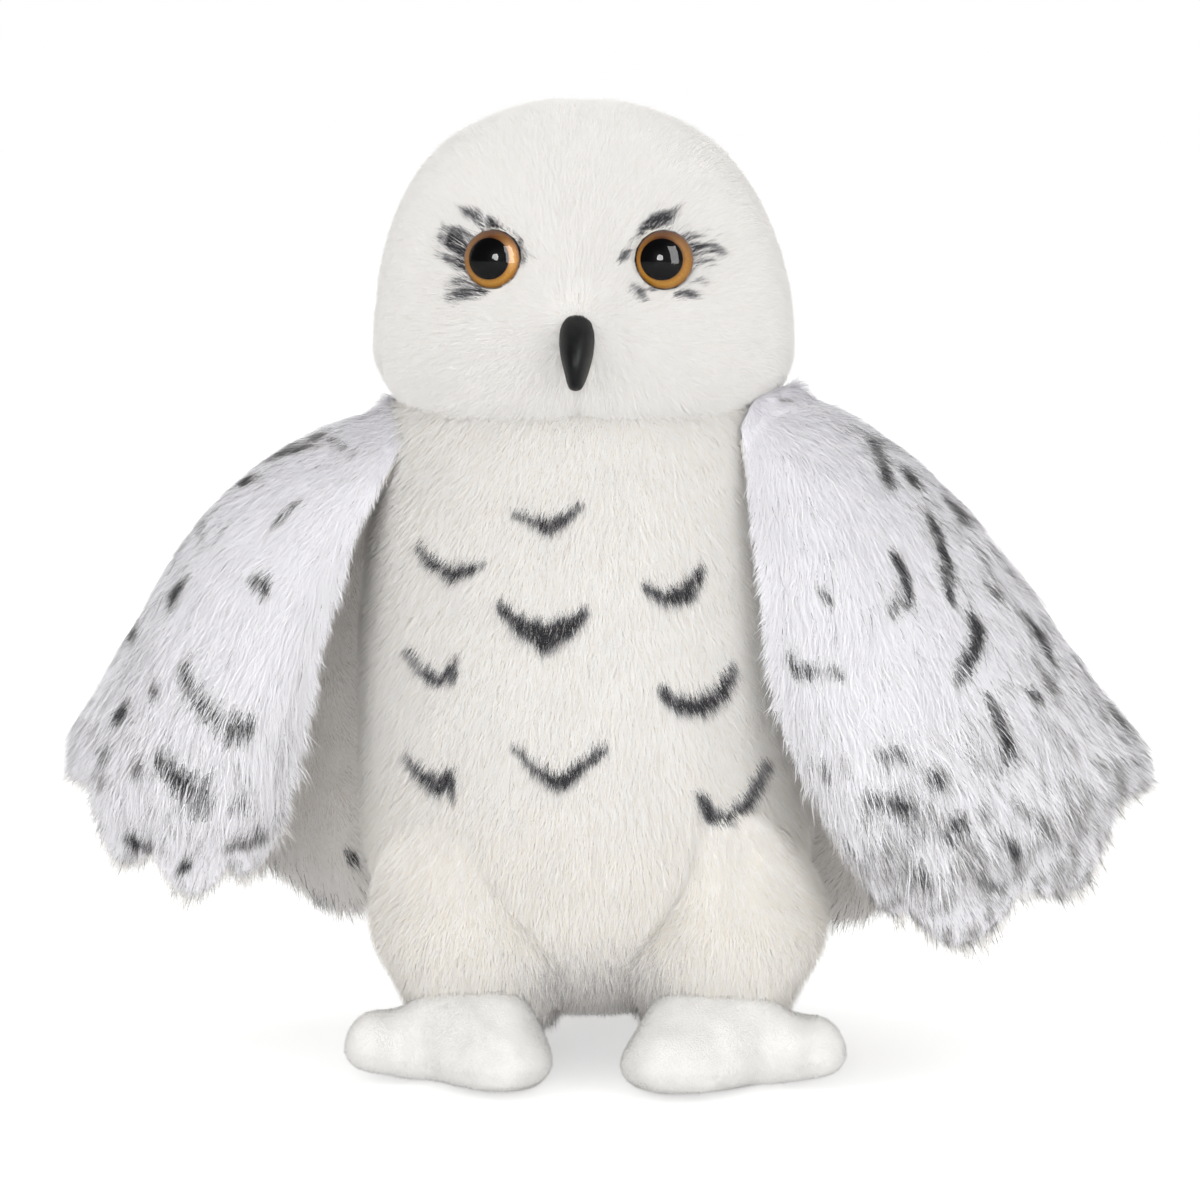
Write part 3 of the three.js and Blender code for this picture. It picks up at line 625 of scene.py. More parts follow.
def dyed(ink, chance, smudge, uneven=0.3):
    """Ink on single fibres: it is patchy, some fibres take more and some take none, so edges are soft."""
    ink = ink * (1 + 0.45 * smudge)
    return np.where(ink > 0.02, np.clip(ink + uneven * (chance - 0.5), 0, 1), 0) * (ink > 0.4 * chance)


def head_shade(places, chance):
    away = places - FACE_MIDDLE
    far, bearing = np.linalg.norm(away, axis=1), np.arctan2(away[:, 2], away[:, 0])
    streaks = wander(np.stack([bearing * far, far * 0.14, far * 0], axis=1), 0.8, 11)
    at = photo_place(places)
    to_eye = np.min([np.linalg.norm(at - centre, axis=1) for centre in EYE_PIXELS], axis=0)
    ink = face_ink(at) * np.clip(1.1 - (to_eye - 30) / 42, 0.15, 1) * (places[:, 1] < -8)
    return dyed(1.12 * ink, chance, 3.0 * streaks, 0.55)


def clear_of_eyes(at):
    """Where pile grows: not under the eyes, and not under the beak."""
    keep = np.ones(len(at))
    for eye in EYES.values():
        keep *= np.linalg.norm(at - eye, axis=1) > EYE_HOLE
    half, tall, middle = BEAK_HOLE
    return keep * ~(((at[:, 0] / half) ** 2 + ((at[:, 2] - middle) / tall) ** 2 < 1) & (at[:, 1] < -30))


head = head_shell()
HEAD_PANELS = {"head_face_left": ("head_face_panel_left", 130000, [FRONT, LEFT, ABOVE]),
               "head_face_right": ("head_face_panel_right", 130000, [FRONT, RIGHT, ABOVE]),
               "head_back": ("head_back_panel", 130000, [BACK, ABOVE])}
for number, (name, (node, count, cuts)) in enumerate(HEAD_PANELS.items()):
    rng = np.random.default_rng(100 + number)
    panel = cut_panel(head, name, cuts)
    roots, normals, _ = scatter(panel, count, rng, clear_of_eyes)
    roots_ok = clear_of_eyes(roots) > 0
    roots, normals = roots[roots_ok], normals[roots_ok]
    near_seam = 1 - 0.3 * np.exp(-((roots[:, 0] / 2.5) ** 2)) * ((roots[:, 2] < 216) & (roots[:, 1] < 0))
    near_eye = np.min([np.linalg.norm(roots - eye, axis=1) for eye in EYES.values()], axis=0)
    inner = np.abs(roots[:, 0]) < 27
    # The chin's edge hangs lowest on both sides of the middle
    chin = step(222, 210, roots[:, 2]) * (roots[:, 1] < 0)
    wave = 2.4 * np.exp(-(((np.abs(roots[:, 0]) - 27) / 13) ** 2)) - 2.0 * step(38, 60, np.abs(roots[:, 0]))
    length = (PILE_LENGTH + chin * (1.6 + wave)) * near_seam
    length = length * np.where(inner, 1 - 0.5 * step(17, 9.5, near_eye), 1 + 0.2 * step(17, 9.5, near_eye))
    length = length * uneven(rng, len(roots), 0.15, 0.6, 1.4)
    # Some fibres above the beak lie down over its upper edge
    flow = head_flow(roots)
    brow = (np.abs(roots[:, 0]) < 4.5) & (roots[:, 2] > 235) & (roots[:, 2] < 242) & (roots[:, 1] < 0)
    flow[brow & (rng.random(len(roots)) < 0.3)] = (0.0, -0.3, -1.0)
    fur = plant(name + "_pile", roots, normals, flow, rng, length * np.where(brow, 0.8, 1), 0.3, 0.4,
                head_fibres, head_shade, relief=0.07)
    finish_panel(panel, node, "head", fur)
bpy.data.objects.remove(head)

# ---------------------------------------------------------------- body
BODY = {"half": 72.5, "front": 61.0, "back": 55.0, "base": 13.0}
BODY_PROFILE = [[0, 0], [0.42, 0.015], [0.66, 0.057], [0.86, 0.14], [0.98, 0.26], [1, 0.4], [1, 0.55],
                [0.985, 0.67], [0.955, 0.8], [0.905, 0.9], [0.83, 1], [0.6, 1.07]]
HIPS = {side: np.array([5 + sign * 40.25, -30.0, 50.0]) for side, sign in SIDES.items()}
HIP_RADIUS, ANKLE_RADIUS, ANKLE_HEIGHT, HIP_ROOM = 32.0, 21.0, 27.0, 20.0


def uniform_spline(points, t):
    """A Catmull-Rom curve through points at equal steps, as the part's source draws the body's profile."""
    points = np.array(points, float)
    last = len(points) - 1
    place = np.clip(np.asarray(t) * last, 0, last - 1e-9)
    i = place.astype(int)
    w = (place - i)[:, None]
    p = [points[np.clip(i + k, 0, last)] for k in (-1, 0, 1, 2)]
    v0, v1 = (p[2] - p[0]) / 2, (p[3] - p[1]) / 2
    return (2 * p[1] - 2 * p[2] + v0 + v1) * w**3 + (-3 * p[1] + 3 * p[2] - 2 * v0 - v1) * w**2 + v0 * w + p[1]


def body_shell():
    outline = uniform_spline(BODY_PROFILE, np.linspace(0, 1, 64))
    outline[:, 0] = np.maximum(outline[:, 0], 0)
    shell = lathe("body_shell", [(r, h) for r, h in outline], 112, [pile_backing])

    def reshape(at):
        at[:, 0] *= BODY["half"] - PILE
        at[:, 1] *= np.where(at[:, 1] < 0, BODY["front"], BODY["back"]) - PILE
        at[:, 2] = BODY["base"] + PILE + at[:, 2] * (NECK - BODY["base"] - PILE)
        return at

    return smooth(place(shell, reshape))


def in_leg(at, room):
    """Whether a place lies inside either leg's hip ball, grown by a room."""
    radius = HIP_RADIUS - PILE + room
    return np.any([np.linalg.norm(at - hip, axis=1) < radius for hip in HIPS.values()], axis=0)


def body_flow(at):
    """Fur lies down, and a little outwards."""
    return 0.12 * np.stack([at[:, 0] / 70, at[:, 1] / 60, at[:, 2] * 0], axis=1) + np.array([0, 0, -1.0])


def painted_warm_shade(roots):
    """Painted warm shade: more of the fibres on the lower belly and the legs take the warmest white, more
    towards the bottom.
    """
    return 0.45 * step(115, 55, roots[:, 2])


def belly_shade(places, chance):
    smudge = wander(places * np.array([1, 1, 0.5]), 1.6, 12)
    ink = dyed(belly_ink(photo_place(places)) * (places[:, 1] < -5), chance, smudge)
    # Painted shade: in the crease between the legs some fibres are darker
    low = 0.85 * step(50, 22, places[:, 2]) * step(34, 12, np.abs(places[:, 0] - 5))
    crease_shade_chance = again(chance)
    return np.maximum(ink, np.where(crease_shade_chance < 0.3 * low, 0.22, np.where(crease_shade_chance < low, 0.1, 0)))


body = body_shell()
# Inside each hip the body leaves room for the leg to turn
ball_outline = [(HIP_ROOM * math.sin(a), -HIP_ROOM * math.cos(a)) for a in np.linspace(0, math.pi, 25)]
balls = [lathe(f"hip_room_{side}", ball_outline, 48, []) for side in SIDES]
for ball, hip in zip(balls, HIPS.values()):
    place(ball, lambda at: at + hip)
    modify(body, "BOOLEAN", object=ball, operation="DIFFERENCE", solver="EXACT")
    bpy.data.objects.remove(ball)
BODY_PANELS = {"belly": ("body_belly_panel", 195000, [FRONT, BELOW]),
               "back_left": ("body_back_panel_left", 75000, [BACK, LEFT, BELOW]),
               "back_right": ("body_back_panel_right", 75000, [BACK, RIGHT, BELOW])}
for number, (name, (node, count, cuts)) in enumerate(BODY_PANELS.items()):
    rng = np.random.default_rng(200 + number)
    panel = cut_panel(body, name, cuts)
    roots, normals, _ = scatter(panel, count, rng, lambda at: ~in_leg(at, -7.0))
    # Above a leg the pile lies down over the crease
    room = np.min([np.linalg.norm(roots - hip, axis=1) for hip in HIPS.values()], axis=0) - HIP_RADIUS + PILE
    crease = step(9, 1, room) * (roots[:, 2] > 50)
    length = PILE_LENGTH * (1 + 0.5 * crease) * uneven(rng, len(roots), 0.15, 0.6, 1.4)
    fur = plant(name + "_pile", roots, normals, body_flow(roots), rng, length, 0.31, 0.66 - 0.25 * crease,
                body_fibres, belly_shade, relief=0.06, warm_shade_share=painted_warm_shade(roots))
    finish_panel(panel, node, "torso", fur)
bpy.data.objects.remove(body)

# ---------------------------------------------------------------- legs
taper = math.asin((HIP_RADIUS - ANKLE_RADIUS) / (HIPS["left"][2] - ANKLE_HEIGHT))


def leg_outline(inset):
    """From high on the thigh, which is drawn out upwards so that it runs into the body, to the heel."""
    thigh, ankle = HIP_RADIUS - inset, ANKLE_RADIUS - inset
    ball = [(thigh * math.cos(a), HIPS["left"][2] + thigh * math.sin(a) * (1.7 if a > 0 else 1))
            for a in np.linspace(math.radians(86), -taper, 40)]
    heel = [(ankle * math.cos(a), ANKLE_HEIGHT + ankle * math.sin(a))
            for a in np.linspace(-taper, -math.pi / 2, 16)]
    return ball + heel


for number, side in enumerate(SIDES):
    rng = np.random.default_rng(300 + number)
    hip = HIPS[side]
    leg = lathe(f"leg_{side}", leg_outline(PILE), 64, [pile_backing])

    def reshape(at):
        # The thigh leans into the body, and its inner side runs out towards the foot
        inner = np.interp(at[:, 2], [20, 28, 35, 45, 55, 65, 90], [1.65, 1.75, 1.48, 1.1, 0.8, 0.6, 0.45])
        at[:, 0] *= np.where(at[:, 0] * SIDES[side] < 0, inner, 1)
        up = np.clip((at[:, 2] - hip[2]) / 46, 0, 1)
        at[:, 0] -= SIDES[side] * (abs(hip[0]) - 29) * up**1.5
        at[:, 1] += 4 * np.sin(math.pi * up)
        return at + np.array([hip[0], hip[1], 0])

    place(leg, reshape)
    filling = lathe(f"leg_{side}_fill", leg_outline(PILE + 3), 48, [fibrefill])
    place(filling, reshape)
    fill_soft(filling, f"leg_stuffing_{side}", f"leg_{side}")

    roots, normals, _ = scatter(leg, 60000, rng, lambda at: (at[:, 2] > 12) & (at[:, 2] < 94))
    # High on the thigh the pile takes the body's direction, so that no edge shows
    into = step(46, 74, roots[:, 2])[:, None]
    torso = unit(roots / np.array([BODY["half"] ** 2, BODY["front"] ** 2, 1e9]))
    normals = unit(normals * (1 - into) + torso * into)
    low = step(34, 22, roots[:, 2]) * np.where(roots[:, 1] < -34, -1.4, 1.5)
    length = (PILE_LENGTH + low) * uneven(rng, len(roots), 0.15, 0.6, 1.4)
    fur = plant(f"leg_{side}_pile", roots, normals, body_flow(roots), rng, length, 0.31, 0.66, body_fibres,
                belly_shade, tuft_mm=4.6, relief=0.05, warm_shade_share=painted_warm_shade(roots))
    finish_panel(leg, f"leg_cover_{side}", f"leg_{side}", fur)


# ---------------------------------------------------------------- feet
FOOT = {"length": 76.0, "width": 68.0, "toe": 15.0}
FOOT_OUTLINE = [[0.36, -0.08], [0.48, 0.06], [0.54, 0.21], [0.52, 0.34], [0.41, 0.4], [0.3, 0.36], [0.19, 0.36],
                [0.05, 0.5], [-0.13, 0.61], [-0.32, 0.6], [-0.45, 0.46], [-0.47, 0.27], [-0.42, 0.06],
                [-0.27, -0.14], [-0.02, -0.24], [0.22, -0.2]]


def spline(points, t, closed=False):
    """Centripetal Catmull-Rom curves, one for each t. points is (count, one for each t, 3)."""
    points = np.asarray(points, float)
    count = len(points)
    if closed:
        padded = np.concatenate([points[-1:], points, points[:2]])
        at = np.asarray(t) * count
        i = np.floor(at).astype(int) % count
        w = at - np.floor(at)
    else:
        padded = np.concatenate([2 * points[:1] - points[1:2], points, 2 * points[-1:] - points[-2:-1]])
        at = np.clip(np.asarray(t) * (count - 1), 0, count - 1)
        i = np.minimum(np.floor(at).astype(int), count - 2)
        w = at - i
    row = np.arange(len(w))
    p0, p1, p2, p3 = (padded[i + k, row] for k in range(4))
    gap = lambda a, b: np.maximum(np.sum((a - b) ** 2, axis=1), 1e-12) ** 0.25
    d0, d1, d2 = gap(p0, p1)[:, None], gap(p1, p2)[:, None], gap(p2, p3)[:, None]
    t1 = ((p1 - p0) / d0 - (p2 - p0) / (d0 + d1) + (p2 - p1) / d1) * d1
    t2 = ((p2 - p1) / d1 - (p3 - p1) / (d1 + d2) + (p3 - p2) / d2) * d1
    w = w[:, None]
    return p1 + t1 * w + (-3 * p1 + 3 * p2 - 2 * t1 - t2) * w**2 + (2 * p1 - 2 * p2 + t1 + t2) * w**3


def foot_mesh(name, side, inset, around, rings, materials):
    """A stuffed foot over its lobed outline: it swells between its seams, so every toe is rounded."""
    sign, hip = SIDES[side], HIPS[side]
    outline = np.array([[out * FOOT["width"], -ahead * FOOT["length"], 0] for out, ahead in FOOT_OUTLINE])
    edge = spline(np.repeat(outline[:, None], around, axis=1), np.arange(around) / around, closed=True)
    reach = np.linalg.norm(edge, axis=1)
    edge *= ((reach - inset) / reach)[:, None]
    shares = np.sin(np.linspace(0.04, 1, rings) * math.pi / 2)
    flat = np.concatenate([edge * share for share in shares])[:, :2]
    following = np.roll(edge, -1, axis=0)[:, :2]
    gap = np.full(len(flat), 1e9)
    for a, b in zip(edge[:, :2], following):
        t = np.clip(((flat - a) @ (b - a)) / ((b - a) @ (b - a)), 0, 1)
        gap = np.minimum(gap, np.linalg.norm(flat - a - t[:, None] * (b - a), axis=1))
    swell = lambda room: np.sqrt(1 - (1 - np.minimum(gap / room, 1)) ** 2)
    seam = 7.0
    # The instep stands up before the ankle and hides the end of the leg's pile
    ahead = -flat[:, 1]
    instep = np.exp(-(((flat[:, 0] + 4) / 22) ** 4) - ((ahead - 14) / 19) ** 2)
    outer_toe = np.exp(-(((flat[:, 0] - 30) / 12) ** 2) - ((ahead - 18) / 22) ** 2)
    rise = FOOT["toe"] + 0.5 + 16.0 * instep + 3.6 * outer_toe
    # Stuffing lifts the toes a little off the floor, the outer one most
    lift = 2.2 * step(8, 46, ahead) + 3.2 * step(12, 34, flat[:, 0])
    top = seam + (rise - seam) * swell(11.0) + lift - inset
    bottom = seam - 6.8 * swell(8.0) + lift + inset
    points = np.concatenate([np.c_[flat, bottom], np.c_[flat, top], [[0, 0, bottom[0]], [0, 0, top[0]]]])
    count = rings * around
    faces = []
    for r in range(rings - 1):
        for i in range(around):
            a, b = r * around + i, r * around + (i + 1) % around
            faces += [(a, a + around, b + around, b),
                      (b + count, b + count + around, a + count + around, a + count)]
    for i in range(around):
        a, b = i, (i + 1) % around
        faces += [(a, b, 2 * count), (b + count, a + count, 2 * count + 1)]
    points[:, 0] *= np.where(points[:, 0] < 0, {"left": 0.85, "right": 1.0}[side], 1)
    points[:, 0] = points[:, 0] * sign + hip[0]
    points[:, 1] += hip[1]
    return smooth(face_outwards(mesh_piece(name, points, faces, materials), 0.05))


for number, side in enumerate(SIDES):
    rng = np.random.default_rng(400 + number)
    foot = foot_mesh(f"foot_{side}", side, 0.3, 144, 30, [velour_cloth])
    filling = foot_mesh(f"foot_{side}_fill", side, 3.0, 72, 16, [fibrefill])
    fill_soft(filling, f"foot_stuffing_{side}", f"foot_{side}")
    roots, normals, _ = scatter(foot, 60000, rng, lambda at: at[:, 2] > 1.2)
    outward = roots - np.array([HIPS[side][0], HIPS[side][1], 60])
    length = 1.5 * uneven(rng, len(roots), 0.25, 0.4, 1.6)
    nap = plant(f"foot_{side}_nap", roots, normals, outward, rng, length, 0.28, 0.55, velour_fibres, tuft=0.5,
                tuft_mm=6, stray=0.5, relief=0.08)
    dress(foot, f"foot_{side}", "velour", f"foot_upper_{side}", f"foot_sole_{side}", fill=0.85)
    dress(nap, f"foot_{side}", "velour")

# ---------------------------------------------------------------- wings
WING = {"root_out": 56.0, "root_height": 204.0, "reach": 121.0, "spread": 66.0, "drop": 190.0, "wadding": 3.0,
        "scallops": 7, "scallop_depth": 9.0}
WING_SHARES = {
    "left": [
        [[0, 0.36, 0.06], [0.03, 0.21, 0.027], [0.06, 0.08, 0.017], [0.07, -0.06, 0.013],
         [0.05, -0.24, 0.027], [-0.02, -0.41, 0.055], [-0.1, -0.58, 0.085]],
        [[0.12, 0.45, 0.21], [0.22, 0.42, 0.18], [0.35, 0.27, 0.165], [0.455, 0, 0.17], [0.43, -0.33, 0.205],
         [0.32, -0.61, 0.25], [0.13, -0.79, 0.31]],
        [[0.24, 0.45, 0.46], [0.39, 0.55, 0.465], [0.6, 0.39, 0.44], [0.72, 0, 0.43], [0.7, -0.42, 0.49],
         [0.49, -0.79, 0.565], [0.15, -0.97, 0.62]],
        [[0.34, 0.36, 0.745], [0.49, 0.47, 0.825], [0.73, 0.36, 0.785], [0.91, -0.06, 0.635],
         [0.8, -0.56, 0.73], [0.46, -0.88, 0.89], [0.07, -1, 0.98]],
    ],
    "right": [
        [[-0.06, 0.53, 0.03], [-0.02, 0.38, -0.005], [0.05, 0.19, -0.016], [0.09, 0, -0.014],
         [0.08, -0.21, 0.002], [-0.01, -0.39, 0.037], [-0.09, -0.58, 0.075]],
        [[-0.02, 0.67, 0.2], [0.12, 0.64, 0.15], [0.31, 0.39, 0.14], [0.45, 0.06, 0.16], [0.42, -0.3, 0.2],
         [0.31, -0.61, 0.25], [0.12, -0.82, 0.32]],
        [[0.05, 0.7, 0.47], [0.24, 0.79, 0.495], [0.55, 0.58, 0.46], [0.79, 0.09, 0.455], [0.75, -0.39, 0.51],
         [0.53, -0.76, 0.58], [0.14, -1, 0.64]],
        [[0.25, 0.64, 0.74], [0.45, 0.67, 0.89], [0.8, 0.5, 0.815], [1.01, 0.03, 0.625], [0.88, -0.54, 0.735],
         [0.48, -0.85, 0.88], [0.05, -1, 1]],
    ],
}


def wing_surface(side, u, v):
    """The wing's middle surface: u from the leading edge to the rear edge, v from shoulder to hem."""
    lobe = np.abs(np.sin(math.pi * WING["scallops"] * u))
    hem = 1 - (WING["scallop_depth"] / WING["drop"]) * (1 - lobe)
    if np.any(v < 0):
        # Before the shoulder seam the wing runs straight on, into the body's shoulder
        start, along = wing_surface(side, u, v * 0), wing_surface(side, u, v * 0 + 0.02)
        straight = start + (along - start) * (v[:, None] / 0.02)
        return np.where(v[:, None] < 0, straight, wing_surface(side, u, np.maximum(v, 0)))
    columns = []
    for i in range(7):
        row = np.array([[SIDES[side] * (WING["root_out"] + r[i][0] * WING["reach"]), -r[i][1] * WING["spread"],
                         WING["root_height"] - r[i][2] * WING["drop"]] for r in WING_SHARES[side]])
        columns.append(spline(np.repeat(row[:, None], len(u), axis=1), v * hem))
    return spline(np.stack(columns), u)


def fade(t, edge=0.12):
    return np.sin(math.pi / 2 * np.minimum(1, np.minimum(t, 1 - t) / edge))


def sheet_grid(columns, rows):
    """The corners of a grid's cells, and the steps along its rim."""
    width = columns + 1
    starts = [j * width + i for j in range(rows) for i in range(columns)]
    cells = [(a, a + 1, a + width + 1, a + width) for a in starts]
    rim = [i for i in range(columns)] + [j * width + columns for j in range(rows)]
    rim += [rows * width + i for i in range(columns, 0, -1)] + [j * width for j in range(rows, 0, -1)]
    return cells, zip(rim, rim[1:] + rim[:1])


def tangents(surface, u, v):
    """A surface's directions with growing u and v, over a small step."""
    eps = 1e-3
    return (surface(np.minimum(u + eps, 1), v) - surface(np.maximum(u - eps, 0), v),
            surface(u, np.minimum(v + eps, 1)) - surface(u, v - eps))


def wing_sheet(name, side, low, high, materials, columns, rows, first=0.01, last=0.955):
    """A thin panel that follows the wing's middle surface between two heights above it, from the shoulder
    to the hem. Its vertices keep u, v, the side that they lie on and the directions down and across."""
    grid = np.meshgrid(np.linspace(0.004, 0.996, columns + 1), np.linspace(first, last, rows + 1))
    u, v = (g.ravel() for g in grid)
    at = wing_surface(side, u, v)
    across, down = tangents(lambda u, v: wing_surface(side, u, v), u, v)
    normal = unit(np.cross(across, down)) * -SIDES[side]
    full = fade(u) * fade(np.maximum(v, 0.02) / last * 0.999)
    points = np.concatenate([at + normal * low(full)[:, None], at + normal * high(full)[:, None]])
    e = len(u)
    cells, rim = sheet_grid(columns, rows)
    faces = [face for a, b, c, d in cells for face in ((a + e, b + e, c + e, d + e), (a, d, c, b))]
    faces += [(a, b, b + e, a + e) for a, b in rim]
    if SIDES[side] > 0:
        faces = [f[::-1] for f in faces]
    piece = smooth(mesh_piece(name, points, faces, materials))
    known = np.tile(np.c_[u, v, u * 0, unit(down), unit(across)], (2, 1))
    known[e:, 2] = 1
    return piece, known


WING_MARKS = {
    "left": [
        (1.1, 184, 666, 4, 192, 690, 7, 212, 712, 9, 232, 730, 11, 248, 729, 8),
        (1.05, 157, 754, 3, 168, 772, 7, 184, 785, 8, 203, 788, 6), (0.9, 194, 806, 5, 212, 805, 5),
        (0.8, 230, 806, 4, 256, 800, 3), (0.9, 220, 850, 5, 240, 846, 4, 266, 838, 4),
        (0.6, 250, 578, 3, 256, 586, 3), (0.85, 262, 580, 5, 266, 594, 4),
        (0.7, 184, 580, 3, 174, 596, 5, 170, 610, 3), (0.7, 134, 628, 4, 130, 644, 4),
        (0.6, 152, 684, 4, 158, 700, 6), (0.75, 124, 706, 5, 118, 722, 5), (0.6, 132, 766, 4, 140, 784, 5),
        (0.5, 100, 748, 3, 108, 760, 3), (0.85, 126, 836, 4, 138, 848, 6, 150, 850, 3),
        (0.5, 284, 446, 1, 326, 436, 3, 352, 456, 1), (0.55, 262, 462, 1, 292, 450, 4, 318, 446, 2),
        (0.75, 236, 486, 2, 248, 480, 4, 256, 476, 2), (0.6, 272, 528, 2, 284, 514, 4, 296, 504, 2),
        (0.4, 196, 520, 3, 204, 540, 4), (0.7, 176, 874, 5, 192, 864, 4), (0.5, 168, 820, 3, 176, 836, 3),
        (0.5, 92, 770, 3, 104, 788, 3),
    ],
    "right": [
        (0.9, 872, 440, 3, 884, 462, 5, 890, 486, 6), (0.9, 906, 470, 5, 918, 486, 6),
        (0.75, 948, 500, 5, 966, 520, 6, 978, 524, 3),
        (0.95, 926, 508, 4, 940, 540, 5, 948, 572, 6, 952, 604, 4),
        (1.05, 894, 556, 3, 904, 576, 6, 908, 600, 7, 894, 614, 6),
        (1.0, 972, 614, 5, 980, 634, 7, 974, 652, 6, 958, 680, 4), (0.5, 820, 592, 4, 832, 604, 5),
        (0.7, 988, 584, 4, 1002, 598, 4), (0.7, 1020, 612, 3, 1040, 636, 6, 1054, 664, 5),
        (0.55, 788, 660, 5, 800, 674, 6, 820, 672, 5, 846, 676, 5),
        (1.0, 992, 700, 4, 1000, 728, 6, 1010, 750, 8, 996, 768, 6), (0.85, 1030, 692, 4, 1042, 700, 6),
        (0.8, 824, 770, 5, 830, 782, 5), (0.5, 838, 764, 4, 850, 770, 4),
        (0.5, 870, 762, 3, 900, 756, 4, 914, 764, 2), (0.9, 932, 786, 4, 942, 774, 6),
        (0.85, 868, 800, 5, 896, 806, 7, 914, 812, 4), (0.85, 944, 822, 3, 960, 826, 6, 966, 818, 3),
        (0.8, 944, 834, 3, 952, 840, 4), (0.95, 1010, 846, 5, 1018, 856, 5),
        (0.6, 1016, 806, 3, 1034, 820, 3, 1046, 830, 2), (0.4, 1034, 656, 4, 1056, 700, 8, 1076, 724, 6),
        (0.8, 916, 872, 6, 928, 884, 5), (0.6, 976, 880, 5, 1000, 888, 7, 1014, 876, 5),
        (0.35, 1100, 700, 8, 1128, 730, 8), (0.7, 1108, 836, 3, 1118, 842, 3), (0.4, 776, 398, 4, 800, 404, 3),
        (0.3, 960, 560, 3, 975, 590, 3),
    ],
}
LINING_MARKS = {
    "left": [
        (1.0, 350, 856, 7, 356, 866, 6), (0.5, 288, 894, 3, 298, 897, 3), (0.5, 314, 902, 3, 328, 908, 3),
        (0.8, 362, 930, 4, 372, 940, 4),
    ],
    "right": [
        (1.0, 872, 892, 7, 882, 904, 7), (0.5, 850, 950, 4, 862, 956, 4),
    ],
}
# On the half of each wing that the photograph hides, marks of the same kind in rows, as (u, v, darkness)
HIDDEN_MARKS = [(0.6, 0.34, 0.9), (0.76, 0.42, 1), (0.9, 0.36, 0.8), (0.56, 0.56, 1), (0.7, 0.62, 0.9),
                (0.84, 0.58, 1), (0.95, 0.66, 0.8), (0.6, 0.78, 0.9), (0.74, 0.82, 1), (0.88, 0.8, 0.9),
                (0.52, 0.9, 0.7), (0.66, 0.93, 0.8), (0.8, 0.94, 0.7), (0.93, 0.9, 0.8), (0.68, 0.22, 0.6),
                (0.84, 0.24, 0.6)]


def wing_shade(side, facing, uv, clumps):
    photo_ink = ink_of(WING_MARKS[side], 8, 0.45)
    # The share of dark fibres: anywhere, towards the rear edge and towards the hem
    anywhere, rear, hem = {"left": (0.01, 0.22, 0.34), "right": (0.03, 0.38, 1.0)}[side]
    hidden = np.zeros(len(uv))
    for u, v, dark in HIDDEN_MARKS:
        # No two are alike in size and slant
        grow, slant = 0.65 + 0.75 * ((u * 91 + v * 57) % 1), ((u * 37 + v * 71) % 1) - 0.5
        du = (uv[:, 0] - u) / (0.042 * grow)
        dv = (uv[:, 1] - v) / (0.019 * grow) + 0.6 * du**2 + 1.4 * slant * du
        hidden = np.maximum(hidden, dark * (0.6 + 0.4 * grow) * step(1.5, 0.3, np.hypot(du, dv)))
    hidden = hidden * ~facing

    def shade(places, chance):
        ink = dyed(np.where(facing, photo_ink(photo_place(places)), hidden), chance, 2.1 * clumps, 0.5)
        amount = anywhere + np.maximum(rear * step(0.28, 0.5, uv[:, 0]), hem * step(0.6, 0.97, uv[:, 1]))
        fleck = amount * (0.15 + 2.6 * np.maximum(clumps, 0)) * step(0.02, 0.16, uv[:, 1])
        return np.maximum(ink, np.where(again(chance) < fleck, 0.1 + 0.5 * again(chance, 104729), 0))

    return shade


def wing_flow(extra):
    """Down the wing, and outwards round its two long edges."""
    u = extra[:, 0:1]
    return extra[:, 3:6] + extra[:, 6:9] * (1.4 * step(0.93, 1.0, u) - 0.8 * step(0.05, 0.0, u))


def lining_shade(side, v):
    photo_ink = ink_of(LINING_MARKS[side], 5)

    def shade(places, chance):
        ink = dyed(photo_ink(photo_place(places)) * (v > 0.7), chance, 0)
        return np.maximum(ink, np.where(again(chance) < 0.3 * step(0.9, 1.0, v), 0.2 + 0.5 * chance, 0))

    return shade


